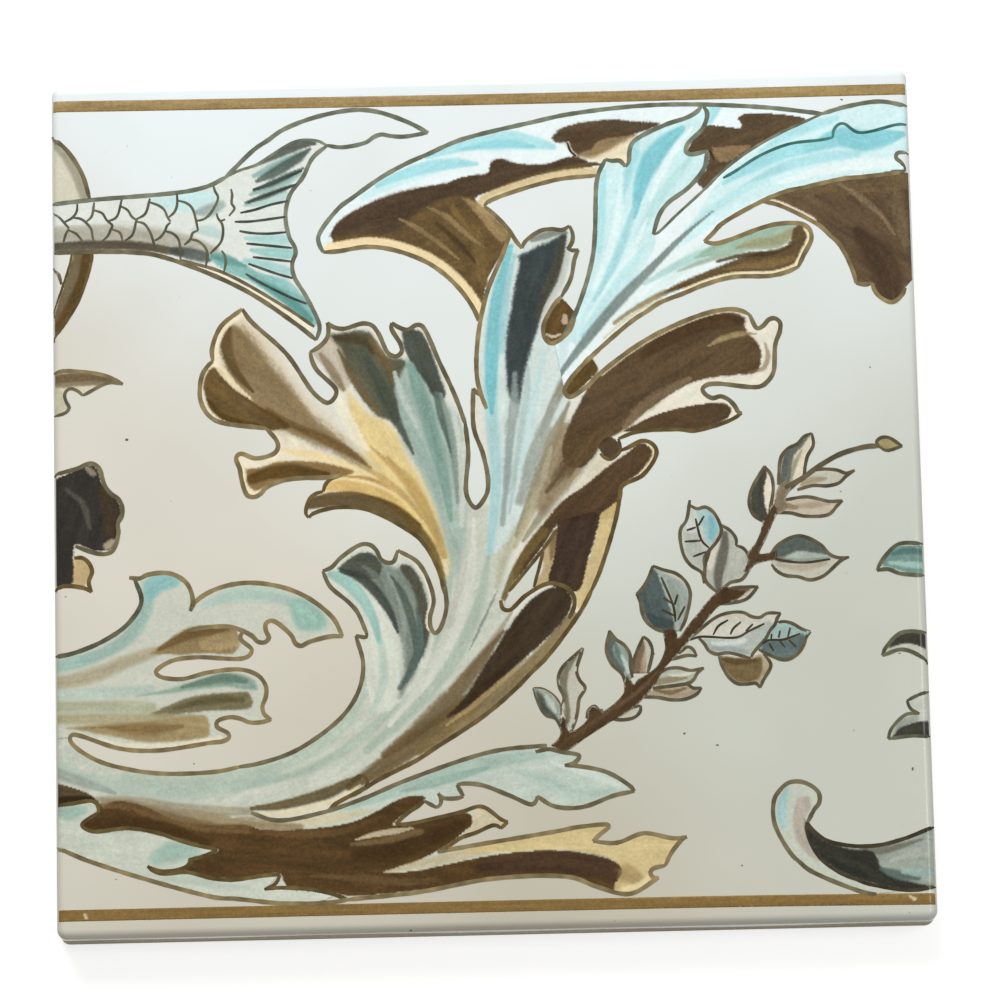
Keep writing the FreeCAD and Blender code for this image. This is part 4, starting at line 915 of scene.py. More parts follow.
PAINT["leaf_sprig"] = [
    wash("#B9B7A6"),
    patch("#8F8458", .2, "68.7,8.1 69.4,8.8 70.7,8.8 72.7,7.5 70.2,6.9 69,7.5"),
    # leaves at the foot
    patch("#8F9589", .3, "7,-34 9,-34.3 11.8,-37 12.2,-41.5 9,-39.5 7.6,-37"),
    patch("#4F564A", .6, "7.6,-34.6 7.9,-37 9,-38.8 10.5,-39.7 11.8,-41 11,-39 9.5,-37.3 8.7,-35.4", .95),
    stroke("#B6C1B8", ".3 .5 .3", "9.4,-35.7 10.2,-37 10.9,-38.5"),
    patch("#6E6C58", .5, "16,-27.4 14.3,-28.5 12.3,-30.6 11.7,-32.5 12.5,-37.5 12.6,-41 13.4,-40 "
        "13.1,-33.5 13.6,-31.2", .95),
    # pair above them
    patch("#87948B", .3, "20.6,-24 24.3,-28 24.6,-33 22.5,-32.5 20,-29"),
    patch("#59615A", .4, "20.6,-24 20.2,-28 22.9,-32 23.2,-31.3 21.8,-29.5 21.2,-27.5 21.8,-26", .95),
    stroke("#61766C", ".3 .6 .4", "21.7,-26.8 22.2,-28.6 23.1,-30.6", .7),
    stroke("#BECBC3", ".2 .4 .3", "22.7,-28.8 23.3,-30.2 23.8,-31.8", .7),
    patch("#6E5C47", .4, "26.5,-25.7 25,-29.3 24.6,-33 26.6,-33 26.4,-30 26.8,-27.5", .95),
    stroke("#9A8672", ".2 .5 .4", "26.7,-28.5 26.5,-30.5 26.2,-32.7"),
    # pair to the right
    patch("#A5AA9C", .3, "28.5,-32.4 31,-31.4 37,-31.2 34.7,-33.6 30,-33.3"),
    stroke("#7A7058", ".5 .6 .3", "28.3,-33.7 31,-33.3 33.8,-32.9", .7),
    stroke("#D3D2C3", ".2 .4 .2", "31,-32.4 33.5,-32.4 35.7,-31.8", .7),
    patch("#A39680", .3, "27.5,-34.8 31,-34.2 36.4,-34.8 33.7,-36.6 27,-36.4"),
    stroke("#6B5437", ".2 .45 .2", "28.3,-35 31,-35.5 33.7,-34.8", .6),
    # great dark leaf
    patch("#96A29A", .3, "28.6,-13 35.2,-18 33,-25 30,-25 25.5,-18"),
    stroke("#858F80", ".3 .7 .6", "31.3,-15.8 32.4,-18.7 32.6,-22"),
    patch("#4C5856", .4, "25.6,-17.9 28,-14.7 28.8,-13.5 30,-16.3 31.9,-24.7 30,-24.8 28,-23.5 26.8,-21.5 "
        "26.4,-19.5", .95),
    stroke("#3A4543", ".4 1 .7", "27.6,-21.7 29.3,-23 31.3,-23.3"),
    # two leaves at the middle
    patch("#BDC3BA", .3, "35,-1 40.9,-7 37.7,-12 37.5,-16.5 33.5,-11 33.5,-6.5"),
    patch("#A9ADA4", 1, "34.5,-7 37.5,-8 37.3,-14 35.3,-12.5 34.2,-10"),
    patch("#9DBDBC", .4, "36.3,-3.1 38,-2.8 39.6,-3.9 40.7,-7 38.7,-9.7 37.3,-6"),
    stroke("#79AEB4", ".4 .8 .5", "38.9,-4.6 39.3,-6.5 38.9,-8.2", .6),
    patch("#ABAEA3", .3, "41,-5.8 43.4,-8.5 46,-13 42,-16.4 39.5,-18.2 37.6,-15.7 38.5,-10.4"),
    stroke("#D3CBBD", ".4 .7 .5", "40.2,-9.3 39,-11.3 38.6,-13.5", .7),
    stroke("#55524A", ".5 .8 .9 .8 .5", "41.4,-7.6 41.2,-10 40.6,-12.5 40,-15 40,-17.7", .6),
    patch("#5E4A34", .4, "40.5,-20.3 40.5,-17.6 43,-17 45.8,-17.1 42.8,-19.4", .95),
    # veined leaf and its neighbours
    patch("#C6C4B7", .3, "34.5,-26 40,-22 44,-21.5 50.8,-21.8 48,-26.3 45.2,-30 38,-28.5 36.3,-26"),
    patch("#A9B1A8", .4, "36.8,-26.1 43,-26.1 48.4,-23.3 49.5,-23.9 48,-26.3 45.4,-29.7 41.5,-28.7 "
        "39.3,-29 37.9,-28.2", .95),
    stroke("#C9D0C8", ".3 .6 .4", "38.7,-26.9 41.5,-27.2 44.2,-26.6"),
    stroke("#8E9A96", ".3 .5 .3", "38.7,-27.9 41.5,-28 44.5,-28.6"),
    patch("#A5967B", .3, "39.5,-29 45,-29.8 47.5,-28.8 49,-31 46.7,-35.2 42.8,-34.3 40.2,-31"),
    patch("#6C5B3D", .5, "39.8,-29.2 44.8,-30.1 46.9,-29.6 47.2,-31.6 46.4,-33.4 44.5,-34 42.5,-33.6 "
        "40.9,-31.8", .95),
    stroke("#54432A", ".4 .6 .4", "40.2,-29.7 42.7,-30.3 46,-30.2", .7),
    patch("#95B0AC", .3, "49.5,-23.6 51,-23.2 56,-25.3 53.5,-29.5 51.3,-30.4 46.5,-28.2"),
    patch("#566563", .4, "46.7,-28.2 48.3,-26.8 51,-26.7 54.5,-25.7 55,-26.5 53.2,-29.4 51.3,-30.2 "
        "48.5,-29.3", .95),
    # leaves at the top
    patch("#DDD6C6", .3, "48.7,4.8 50.3,0 49.3,-4.5 47.8,-5.7 45.6,-2"),
    patch("#3B3C33", .4, "48.7,4.5 46.2,0 45.8,-2.3 46.5,-4.3 47.9,-5.5 48.9,-4.7 48.5,-2 48.5,.5 "
        "49.1,2.8", .95),
    patch("#D6CCB6", .3, "51.7,0 54,1 57.4,8 57,10 53.5,6"),
    patch("#5A5F57", .5, "51,.8 52.4,6.9 54.5,8.2 57,10 55.6,8 53.9,6 52.6,.6", .95),
    stroke("#8B8871", ".15 .4 .2", "53.3,1.5 54,4.5 55.3,7"),
    stroke("#9A8C74", ".5 .6 .3", "55.3,1.2 57.3,1.7 59.3,1.9"),
    patch("#BCB09C", .3, "50.2,-4 52,-1.7 62.4,-2 59.7,-4.6 55,-4.8"),
    stroke("#A39480", ".3 .6 .3", "53.5,-3 56.7,-2.8 59.7,-2.6"),
    stroke("#7D6C56", ".5 .6 .3", "50.8,-3.3 52.3,-2.8 54,-3.2"),
    stroke("#A49B88", ".3 .6 .4", "50.5,-13.3 54.5,-13.9 58.8,-13.2"),
    patch("#A3ADA4", .3, "49.3,-11.3 54.3,-8.1 59.7,-11.6 63,-12.2 59,-12.6 55,-13 51,-12.6"),
    patch("#515A54", .6, "49.2,-11.8 50.6,-9.6 54.3,-8 60,-11.6 54,-11 51.5,-12", .95),
    stroke("#7F8B80", ".2 .4 .3", "52,-12.4 55.5,-12.7 59.3,-12.3"),
    stroke("#6B6552", ".3 .5 .3", "49.4,-12 51,-12.4 52.7,-12.7", .7),
    # branch
    patch("#7A6B54", .3, BRANCH_TIP),
    patch("#46341F", .2, BRANCH_LOW, .97),
    patch("#4B3925", .2, BRANCH_TOP, .97),
    stroke("#64503A", ".2 .4 .4 .2", "13,-43.5 19,-39.4 25,-35.5 29,-31.7", .9, cover=.6),
]

PAINT["corner_curl"] = [
    wash("#BDC2B4"),
    stroke("#9DBFC0", ".5 .9 .9 .5", "50.7,-53 50,-55 49.7,-57.2 50,-59.5", .6),
    patch("#A9A093", .6, "52.6,-54.6 54.5,-54.3 54.8,-56 53.9,-58 53.7,-60.5 54.7,-63 56.8,-65.8 "
        "54.2,-64.6 52.2,-61.7 51.7,-58.3"),
    patch("#8F978C", .3, "53.8,-58.4 57.3,-62.3 64.3,-63.5 70.7,-62.4 76,-60.4 76,-70.5 71.7,-71 "
        "64.3,-69.7 58.3,-67 54.3,-62.5"),
    stroke("#A3A99E", ".4 .8 .9", "68.5,-65.8 72,-64.8 76,-63.8"),
    stroke("#6B6B5E", ".6 .8 .5 .2", "63.5,-64 67,-64 70.3,-63.3 74,-62.2", .7),
    patch("#2F2F28", .5, "53.7,-58.4 54.4,-59.8 56.5,-61.8 62,-63.7 65,-64 66,-65 66.4,-66.5 67.3,-67.8 "
        "73,-70 76,-70.6 70,-70.9 57.5,-66.3 53.8,-60.7", .96),
    stroke("#4E5E58", ".4 .8 .5", "66.7,-67.3 69.7,-68.4 73,-68.9"),
    stroke("#8FA8A2", ".4 .8 .7", "70.5,-67.7 73.3,-68 76,-68"),
]

PAINT["edge_leaves"] = [
    wash("#CDC8B2"),
    stroke("#8E8A74", ".5 .9 .8", "-75.6,65.5 -72.6,61.5 -70.5,56", cover=.7),
    patch("#66583F", .3, "-72.6,45.6 -69.4,45.6 -70,42 -72,36.7 -76,30.5 -76,34 -74,40.5"),
    stroke("#54401F", "1 1.1 1 .6", "-70,45 -70.8,41 -72.7,36.5 -75.4,32", .6),
    patch("#83755B", .5, "-76.2,23.8 -70,23.8 -65,22.3 -67.5,21.6 -71,21.5 -76.2,21.6"),
    stroke("#6B5A40", ".8 .8 .4", "-75.5,22.9 -70,23.1 -65.8,22.4", .6),
    stroke("#B9B29A", ".8 1 .6", "-75.5,20.5 -74.5,18.5 -75.5,17", cover=.7),
    patch("#2E2B28", .3, "-75.9,4.9 -69.5,7.2 -68.6,6.6 -67.8,4 -66.5,2 -65,.8 -64.5,-1.3 -65.2,-3.3 "
        "-65.1,-5.5 -66.2,-7.8 -69,-8.1 -72.4,-6.9 -72.9,-9 -72.9,-13.6 -75.9,-14.3", .97),
    stroke("#4A3A28", "1 1.5 1.2", "-67.5,2.5 -66.3,-1 -66.5,-5", .9, cover=.7),
    stroke("#A89B83", ".6", "-70,6.4 -69.3,5.8", .9, cover=.7),
    stroke("#C5B496", ".6", "-67,-7.3 -66,-6.6", .9, cover=.75),
    stroke("#5C564C", ".3 .6 .3", "-74,3 -71,0 -70,-4", .9, cover=.6),
    patch("#C2A878", .3, "-72.7,-9.5 -71.3,-9.5 -69.9,-11.7 -71.2,-14.5 -72.7,-14"),
    patch("#668A82", .3, "75.9,-10.4 71.3,-10.6 68.6,-13.7 70,-14.2 75.9,-15.4"),
    stroke("#A9C6BE", ".3 .6 .5", "70,-13.3 73,-13.7 75.9,-14", .9, cover=.7),
    stroke("#4A6A66", ".4 .7 .6", "70.7,-11.8 73.3,-11.3 75.9,-11.6", cover=.7),
    patch("#B9BCAF", .2, "68.5,-29 76,-25 76,-31"),
    patch("#37362E", .4, "69,-28.7 70.3,-27 72,-26 76,-26.2 76,-28.7 74,-28 72,-27.8", .95),
    patch("#B5B9AE", .3, "76,-36 72,-38 74.5,-40.2 70,-41 68.6,-44.6 76,-44.4"),
    stroke("#8F958B", ".5 .7 .6", "70,-43.7 71,-42 73.5,-41"),
    patch("#33332B", .5, "70.3,-43.2 71.5,-42.3 76,-41.7 76,-44.3 72,-44.1 69.3,-44.4", .95),
]

PAINT["border_bands"] = [
    wash("#8F7446", 1),
    stroke("#A38E66", ".5", "-76,73 0,72.6 76,72.8", .9, cover=.8, streak=.5),
    stroke("#9B855A", ".6", "-76,72 0,71.6 76,71.8", .9, cover=.7, streak=.5),
    stroke("#80663A", ".6", "-76,-71.7 0,-71.8 76,-72.2", .9, cover=.7, streak=.5),
    stroke("#7B6136", ".5", "-76,-72.8 0,-72.8 76,-73.1", .9, cover=.7, streak=.5),
    stroke("#D9CDB2", ".35", "-71.3,-72.2 -71.1,-72.6", .6, cover=.9),
    stroke("#CFC3A6", ".3", "71.6,-72.2 72.3,-72.6", .6, cover=.9),
]


def to_rgb(code):
    """Display red, green and blue from 0 to 1 of a hex colour."""
    return np.array([int(code[i:i + 2], 16) for i in (1, 3, 5)]) / 255


def to_linear(rgb):
    """Scene-linear values of display colours."""
    rgb = np.asarray(rgb, float)
    return np.where(rgb <= 0.04045, rgb / 12.92, ((rgb + 0.055) / 1.055) ** 2.4)


def smooth_run(points, step):
    """Samples of a centripetal Catmull-Rom curve through the points, and their place among the points."""
    points = np.asarray(points, float)
    padded = np.vstack([2 * points[0] - points[1], points, 2 * points[-1] - points[-2]])
    samples, places = [], []
    for i in range(len(points) - 1):
        quad = padded[i:i + 4]
        gaps = np.maximum(np.linalg.norm(np.diff(quad, axis=0), axis=1), LEAST_GAP)
        knots = np.concatenate([[0], np.cumsum(np.sqrt(gaps))])
        count = max(1, int(round(gaps[1] / step)))
        t = np.linspace(knots[1], knots[2], count, endpoint=False)[:, None]
        first = [((knots[k + 1] - t) * quad[k] + (t - knots[k]) * quad[k + 1]) / (knots[k + 1] - knots[k])
                 for k in range(3)]
        second = [((knots[k + 2] - t) * first[k] + (t - knots[k]) * first[k + 1]) / (knots[k + 2] - knots[k])
                  for k in range(2)]
        samples.append(((knots[2] - t) * second[0] + (t - knots[1]) * second[1]) / (knots[2] - knots[1]))
        places.append(i + np.arange(count) / count)
    samples.append(points[-1:])
    places.append([len(points) - 1])
    return np.vstack(samples), np.concatenate(places)


def line_runs(key):
    """The smooth runs of a named line."""
    runs = [read_points(run) for run in LINES[key][2:]]
    starts = [[]] + [[run[-1]] for run in runs[:-1]]
    return [smooth_run(start + run, LINE_STEP)[0] for start, run in zip(starts, runs)]


def whole_line(key):
    """All the runs of a named line as one path, without the doubled corners."""
    runs = line_runs(key)
    return np.vstack([runs[0]] + [run[1:] for run in runs[1:]])


def nearest(path, point):
    return int(np.argmin(np.linalg.norm(path - np.asarray(point), axis=1)))


def line_stretch(key, start, end=None):
    """The part of a named line from the sample nearest to one point to that nearest to another."""
    path = whole_line(key)
    first = nearest(path, start)
    last = len(path) - 1 if end is None else nearest(path, end)
    return path[first:last + 1] if first <= last else path[last:first + 1][::-1]


def area_path(part):
    """The path of one part of an area: a closed outline, a whole line, a stretch of a line or a point."""
    if isinstance(part, str) and "," in part:
        points = read_points(part)
        return smooth_run(points + points[:1], LINE_STEP)[0][:-1]
    if isinstance(part, str):
        return whole_line(part)
    if isinstance(part[0], str):
        return line_stretch(*part)
    return np.array([part], float)


def area_loop(parts):
    """One closed loop from its parts, each turned so that it starts where the one before it ended."""
    paths = [area_path(part) for part in parts]
    if len(paths) > 1:
        ends = paths[1][[0, -1]]
        gap_back, gap_front = (np.linalg.norm(ends - paths[0][k], axis=1).min() for k in (-1, 0))
        if gap_front < gap_back:
            paths[0] = paths[0][::-1]
    loop = [paths[0]]
    for path in paths[1:]:
        end = loop[-1][-1]
        turned = np.linalg.norm(path[-1] - end) < np.linalg.norm(path[0] - end)
        loop.append(path[::-1] if turned else path)
    points = clip_to_face(np.vstack(loop))
    apart = np.linalg.norm(points - np.roll(points, 1, axis=0), axis=1) > LOOP_GAP
    return fill_sides(points[apart])


def fill_sides(points):
    """The closed loop with points added along its long straight sides."""
    filled = []
    for start, end in zip(points, np.roll(points, -1, axis=0)):
        count = max(1, int(np.linalg.norm(end - start) / LINE_STEP))
        filled.append(start + (end - start) * np.arange(count)[:, None] / count)
    return np.vstack(filled)


def clip_to_face(points):
    """The print stops just short of the tile's sides."""
    return np.clip(points, -EDGE_REACH, EDGE_REACH)


def surface_level(points, lift):
    """Height of the face under each point, with its rolled edge, plus a film of the given thickness."""
    over = np.maximum(np.abs(points) - (HALF - ARRIS_RADIUS), 0)
    reach = np.minimum(np.linalg.norm(over, axis=1), ARRIS_RADIUS)
    return FACE - ARRIS_RADIUS + np.sqrt((ARRIS_RADIUS + lift) ** 2 - reach ** 2)


def inside_grid(loop, pitch):
    """Points of a triangular grid inside a closed loop, clear of its edge."""
    start, end = loop, np.roll(loop, -1, axis=0)
    taken = {tuple(cell) for cell in np.round(loop / pitch).astype(int)}
    rows = np.arange(loop[:, 1].min() + pitch / 2, loop[:, 1].max(), pitch * ROW_RISE)
    points = []
    for index, y in enumerate(rows):
        crossing = (start[:, 1] <= y) != (end[:, 1] <= y)
        a, b = start[crossing], end[crossing]
        cuts = np.sort(a[:, 0] + (y - a[:, 1]) * (b[:, 0] - a[:, 0]) / (b[:, 1] - a[:, 1]))
        shift = pitch / 2 if index % 2 else 0.0
        for left, right in zip(cuts[::2], cuts[1::2]):
            first = math.ceil((left + pitch / 2 - shift) / pitch)
            last = math.floor((right - pitch / 2 - shift) / pitch)
            points += [(k * pitch + shift, y) for k in range(first, last + 1)]
    return [p for p in points if (round(p[0] / pitch), round(p[1] / pitch)) not in taken]


def rim_edges(faces):
    """Edges that belong to one face only, in that face's direction."""
    edges = {(a, b) for face in faces for a, b in zip(face, face[1:] + face[:1])}
    return [(a, b) for a, b in edges if (b, a) not in edges]


def film_sheet(loop, pitch, top, bottom):
    """A closed thin sheet over a loop: its points with height, and its faces."""
    ring = [(i, (i + 1) % len(loop)) for i in range(len(loop))]
    seeds = [Vector(p) for p in [tuple(p) for p in loop] + inside_grid(loop, pitch)]
    verts, _, faces, *_ = delaunay_2d_cdt(seeds, ring, [], KEEP_INSIDE, SHEET_JOIN)
    flat, faces = np.array([tuple(v) for v in verts]), [tuple(face) for face in faces]
    rim = rim_edges(faces)
    rim_index = sorted({a for edge in rim for a in edge})
    place = {index: k for k, index in enumerate(rim_index)}
    below = {index: len(flat) + k for index, k in place.items()}
    lower_flat = flat[rim_index]
    lower_edges = [(place[a], place[b]) for a, b in rim]
    lower_seeds = [Vector(p) for p in lower_flat]
    _, _, lower, origins, *_ = delaunay_2d_cdt(lower_seeds, lower_edges, [], KEEP_INSIDE, RIM_JOIN)
    lower_faces = [tuple(len(flat) + origins[i][0] for i in reversed(face)) for face in lower]
    walls = [(b, a, below[a], below[b]) for a, b in rim]
    top_points = np.column_stack([flat, surface_level(flat, top)])
    low_points = np.column_stack([lower_flat, surface_level(lower_flat, bottom)])
    return np.vstack([top_points, low_points]), faces + walls + lower_faces


def fade(value):
    value = np.clip(value, 0, 1)
    return value * value * (3 - 2 * value)


def waves(along, rows, index):
    """A sum of sine waves, each given by its size, its rate and its shift for each index."""
    return sum(size * np.sin(rate * along + shift * index) for size, rate, shift in rows)


def scatter(points):
    """A fixed scatter from -0.5 to 0.5, one value for each point."""
    mixed = np.sin(points @ SCATTER_RATES) * SCATTER_SPREAD
    return mixed - np.floor(mixed) - 0.5


def lattice_noise(x, y, seed):
    """Smooth noise from -0.5 to 0.5 over a lattice of unit cells."""
    column, row = np.floor(x), np.floor(y)
    right, up = fade(x - column), fade(y - row)
    start = np.column_stack([column, row])
    corners = [[scatter(start + (i, j) + SEED_STEP * seed) for i in (0, 1)] for j in (0, 1)]
    low, high = (left * (1 - right) + other * right for left, other in corners)
    return low * (1 - up) + high * up


def hair_marks(across, along, seed):
    """Brush hair marks stretched along a stroke, from -0.5 to 0.5."""
    return sum(weight * lattice_noise(rate * across, stretch * along, seed + rate)
               for rate, stretch, weight in HAIR)


def near_chunks(points, path, reach):
    """Indices of the points within the reach of a path's box, in chunks."""
    low, high = path.min(axis=0) - reach, path.max(axis=0) + reach
    near = np.flatnonzero(np.all((points > low) & (points < high), axis=1))
    return np.array_split(near, len(near) // CHUNK + 1)


def stroke_path(mark):
    """The path of a stroke or a rim, and how far along it each sample is, from 0 to 1."""
    if mark["kind"] == "rim":
        path = line_stretch(mark["line"], *mark["ends"])
        return path, np.linspace(0, 1, len(path))
    path, places = smooth_run(mark["points"], STROKE_STEP)
    return path, places / places[-1]


def stroke_mask(points, mark):
    """How much of a brush stroke lies on each point, and the marks of its hairs there."""
    path, places = stroke_path(mark)
    halves = np.interp(places, np.linspace(0, 1, len(mark["widths"])), mark["widths"])
    ahead = np.gradient(path, axis=0)
    lengths = np.linalg.norm(ahead, axis=1)
    along = lengths.cumsum()
    side = np.column_stack([-ahead[:, 1], ahead[:, 0]]) / lengths[:, None]
    mask, hair = np.zeros((2, len(points)))
    for chunk in near_chunks(points, path, (1 + mark["soft"]) * halves.max()):
        gap = points[chunk, None, :] - path[None, :, :]
        ratio = np.linalg.norm(gap, axis=2) / halves[None, :]
        best = np.argmin(ratio, axis=1)
        rows = np.arange(len(chunk))
        across = np.sum(gap[rows, best] * side[best], axis=1)
        hair[chunk] = hair_marks(across, along[best], path[0].sum())
        ragged = EDGE_SCATTER * scatter(points[chunk]) + STROKE_HAIR * mark["streak"] * hair[chunk]
        mask[chunk] = fade(0.5 + (1 - ratio[rows, best]) / mark["soft"] + ragged)
    return mask, hair


def patch_mask(points, mark):
    """How much of a closed tint lies on each point, and the brush hairs along its length."""
    loop = smooth_run(mark["points"] + mark["points"][:1], STROKE_STEP)[0]
    start, end = loop, np.roll(loop, -1, axis=0)
    rise = np.where(end[:, 1] == start[:, 1], LEAST_SPAN, end[:, 1] - start[:, 1])
    axes = np.linalg.eigh(np.cov(loop.T))[1]
    mask, hair = np.zeros((2, len(points)))
    for chunk in near_chunks(points, loop, mark["feather"]):
        x, y = points[chunk, 0][:, None], points[chunk, 1][:, None]
        crossing = (start[:, 1] <= y) != (end[:, 1] <= y)
        cut = start[:, 0] + (y - start[:, 1]) * (end[:, 0] - start[:, 0]) / rise
        inside = np.sum(crossing & (cut > x), axis=1) % 2
        edge = np.linalg.norm(points[chunk, None, :] - loop[None, :, :], axis=2).min(axis=1)
        hair[chunk] = hair_marks(*(points[chunk] @ axes).T, loop[0].sum())
        ragged = EDGE_SCATTER * scatter(points[chunk]) + PATCH_HAIR * hair[chunk]
        mask[chunk] = fade(0.5 + (2 * inside - 1) * edge / mark["feather"] + ragged)
    return mask, hair


def painted(points, marks):
    """Linear colour and cover of the enamel on each point, the marks laid over each other in order."""
    colour = np.zeros((len(points), 3))
    cover = np.zeros(len(points))
    grain = scatter(points)
    for mark in marks:
        mask, hair = np.ones(len(points)), np.zeros(len(points))
        if mark["kind"] == "patch":
            mask, hair = patch_mask(points, mark)
        elif mark["kind"] != "wash":
            mask, hair = stroke_mask(points, mark)
        mask = mask * mark["cover"]
        tint, added = np.zeros(3), np.zeros(len(points))
        if mark["colour"] is not None:
            tint, added = to_rgb(mark["colour"]), mask
        tone = 1 + (1 - tint.mean()) * (HAIR_TONE * hair + GRAIN_TONE * grain)
        colour = colour * (1 - mask)[:, None] + tint * (tone * added)[:, None]
        cover = cover * (1 - mask) + added
    colour /= np.maximum(cover, LEAST_COVER)[:, None]
    return np.column_stack([to_linear(np.clip(colour, 0, 1)), cover])


def plain_mesh(name, points, faces):
    """A mesh in metres from points in millimetres, its faces turned outwards."""
    mesh = bpy.data.meshes.new(name)
    mesh.from_pydata((np.asarray(points) * MM).tolist(), [], faces)
    turn_outwards(mesh)
    return mesh


def turn_outwards(mesh):
    work = bmesh.new()
    work.from_mesh(mesh)
    bmesh.ops.recalc_face_normals(work, faces=work.faces)
    work.to_mesh(mesh)
    work.free()


def face_map(mesh):
    """A flat map from above for the upward faces; the hidden rest shares a strip beside it."""
    layer = mesh.uv_layers.new(name="OFBake")
    where = np.empty(len(mesh.vertices) * 3)
    mesh.vertices.foreach_get("co", where)
    where = where.reshape(-1, 3)[:, :2]
    low = where.min(axis=0)
    unit = (where - low) / np.maximum(where.max(axis=0) - low, LEAST_SPAN)
    for polygon in mesh.polygons:
        upward = polygon.normal.z > UPWARD
        for loop in polygon.loop_indices:
            u, v = unit[mesh.loops[loop].vertex_index]
            layer.data[loop].uv = (MAP_STRIP + (1 - MAP_STRIP) * u if upward else HIDDEN_STRIP * u, v)


def add_piece(mesh, material):
    """A finished piece that rides with the tile and takes its material."""
    piece = bpy.data.objects.new(mesh.name, mesh)
    bpy.context.scene.collection.objects.link(piece)
    mesh.materials.clear()
    mesh.materials.append(material)
    face_map(mesh)
    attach(piece, "root")


def node(tree, kind, inputs, **settings):
    """A new node with its settings, and its inputs linked to sockets or set to values."""
    made = tree.nodes.new(kind)
    for name, value in settings.items():
        setattr(made, name, value)
    for key, value in inputs.items():
        if isinstance(value, bpy.types.NodeSocket):
            tree.links.new(value, made.inputs[key])
        else:
            made.inputs[key].default_value = value
    return made


def new_material(name):
    """A material, with its tree and its shader."""
    material = bpy.data.materials.new(name)
    material.use_nodes = True
    tree = material.node_tree
    return material, tree, tree.nodes["Principled BSDF"]


def object_place(tree):
    return node(tree, "ShaderNodeTexCoord", {}).outputs["Object"]


def noise(tree, place, scale, detail):
    inputs = {"Scale": scale, "Detail": detail, "Vector": place}
    return node(tree, "ShaderNodeTexNoise", inputs).outputs["Fac"]


def ramp(tree, value, low, high, to_low=0.0, to_high=1.0):
    """A value carried from one range to another."""
    limits = {"Value": value, "From Min": low, "From Max": high, "To Min": to_low, "To Max": to_high}
    return node(tree, "ShaderNodeMapRange", limits).outputs["Result"]


def blend_colour(tree, factor, first, second, mode="MIX"):
    inputs = {0: factor, 6: first, 7: second}
    return node(tree, "ShaderNodeMix", inputs, data_type="RGBA", blend_type=mode).outputs[2]


def own_colour(tree, name, value):
    """The colour that a piece carries on its points, with its value varied, and its alpha."""
    carried = node(tree, "ShaderNodeAttribute", {}, attribute_name=name).outputs
    tone = node(tree, "ShaderNodeHueSaturation", {"Color": carried["Color"], "Value": value})
    return tone.outputs["Color"], carried["Alpha"]


def relief(tree, shader, height, strength):
    inputs = {"Strength": strength, "Distance": RELIEF_DEPTH, "Height": height}
    bump = node(tree, "ShaderNodeBump", inputs)
    tree.links.new(bump.outputs["Normal"], shader.inputs["Normal"])


def mottle(tree, place, scale, detail, *limits):
    """Noise carried from one range to another."""
    return ramp(tree, noise(tree, place, scale, detail), *limits)


def tint_reach(tree, place, direction, span):
    """How far one of the glaze's painted light and shade tints has come along its direction, from 0 to 1."""
    inputs = {0: place, 1: direction}
    reach = node(tree, "ShaderNodeVectorMath", inputs, operation="DOT_PRODUCT").outputs["Value"]
    return ramp(tree, reach, *(share * HALF * MM for share in span))


def ground_colour(tree, colours, place):
    """The bare glaze, faintly clouded, with a few iron specks, under painted light and shade: a painted cool
    light and reflection makes it lighter and cooler at the top, painted shade darkens it to the lower right
    and painted warm light warms it to the lower left.
    """
    # Painted cool light and reflection: lighter and cooler towards the top
    height = tint_reach(tree, place, (0, 1, 0), PAINTED_TOP_LIGHT_SPAN)
    base = blend_colour(tree, height, colours.glaze_low, colours.glaze_top_painted_light)
    cloud = mottle(tree, place, *GLAZE_CLOUDS)
    base = blend_colour(tree, cloud, base, colours.glaze_cloud, "MULTIPLY")
    # Painted shade: darker towards the lower right
    shade = tint_reach(tree, place, (1, -1, 0), PAINTED_SHADE_SPAN)
    base = blend_colour(tree, shade, base, colours.glaze_painted_shade, "MULTIPLY")
    # Painted warm light: warmer towards the lower left
    warmth = tint_reach(tree, place, (-1, -1, 0), PAINTED_WARM_LIGHT_SPAN)
    base = blend_colour(tree, warmth, base, colours.glaze_painted_warm_light, "MULTIPLY")
    specks = mottle(tree, place, *GLAZE_SPECKS)
    return blend_colour(tree, specks, base, colours.speck)


def gloss(tree, shader, place, strength):
    """The wet look of a fired glaze, with the slight unevenness of its flow."""
    shader.inputs["IOR"].default_value = GLAZE_IOR
    shader.inputs["Specular IOR Level"].default_value = GLAZE_SHEEN
    rough = mottle(tree, place, *GLAZE_ROUGHNESS)
    tree.links.new(rough, shader.inputs["Roughness"])
    relief(tree, shader, noise(tree, place, *GLAZE_FLOW), strength)


def glaze_material(colours):
    material, tree, shader = new_material("clear_glaze")
    place = object_place(tree)
    # The glaze's colour carries its painted light, reflection and shade from ground_colour
    tree.links.new(ground_colour(tree, colours, place), shader.inputs["Base Color"])
    gloss(tree, shader, place, GLAZE_RELIEF)
    return material


def enamel_material(colours):
    """Brushed colour under the glaze, from the piece's own paint, over the bare glaze and its painted light
    and shade where it is thin.
    """
    material, tree, shader = new_material("brushed_enamel")
    place = object_place(tree)
    grain = mottle(tree, place, *ENAMEL_GRAIN)
    cloud = mottle(tree, place, *ENAMEL_CLOUDS)
    value = node(tree, "ShaderNodeMath", {0: grain, 1: cloud}, operation="MULTIPLY").outputs[0]
    tone, cover = own_colour(tree, "paint", value)
    base = blend_colour(tree, cover, ground_colour(tree, colours, place), tone)
    tree.links.new(base, shader.inputs["Base Color"])
    gloss(tree, shader, place, GLAZE_RELIEF)
    return material


def ink_material():
    """Transfer-printed line: the ink's own colour, a little broken where it printed thin."""
    material, tree, shader = new_material("printed_ink")
    place = object_place(tree)
    value = mottle(tree, place, *INK_BREAKS)
    tree.links.new(own_colour(tree, "ink", value)[0], shader.inputs["Base Color"])
    gloss(tree, shader, place, PRINT_RELIEF)
    return material


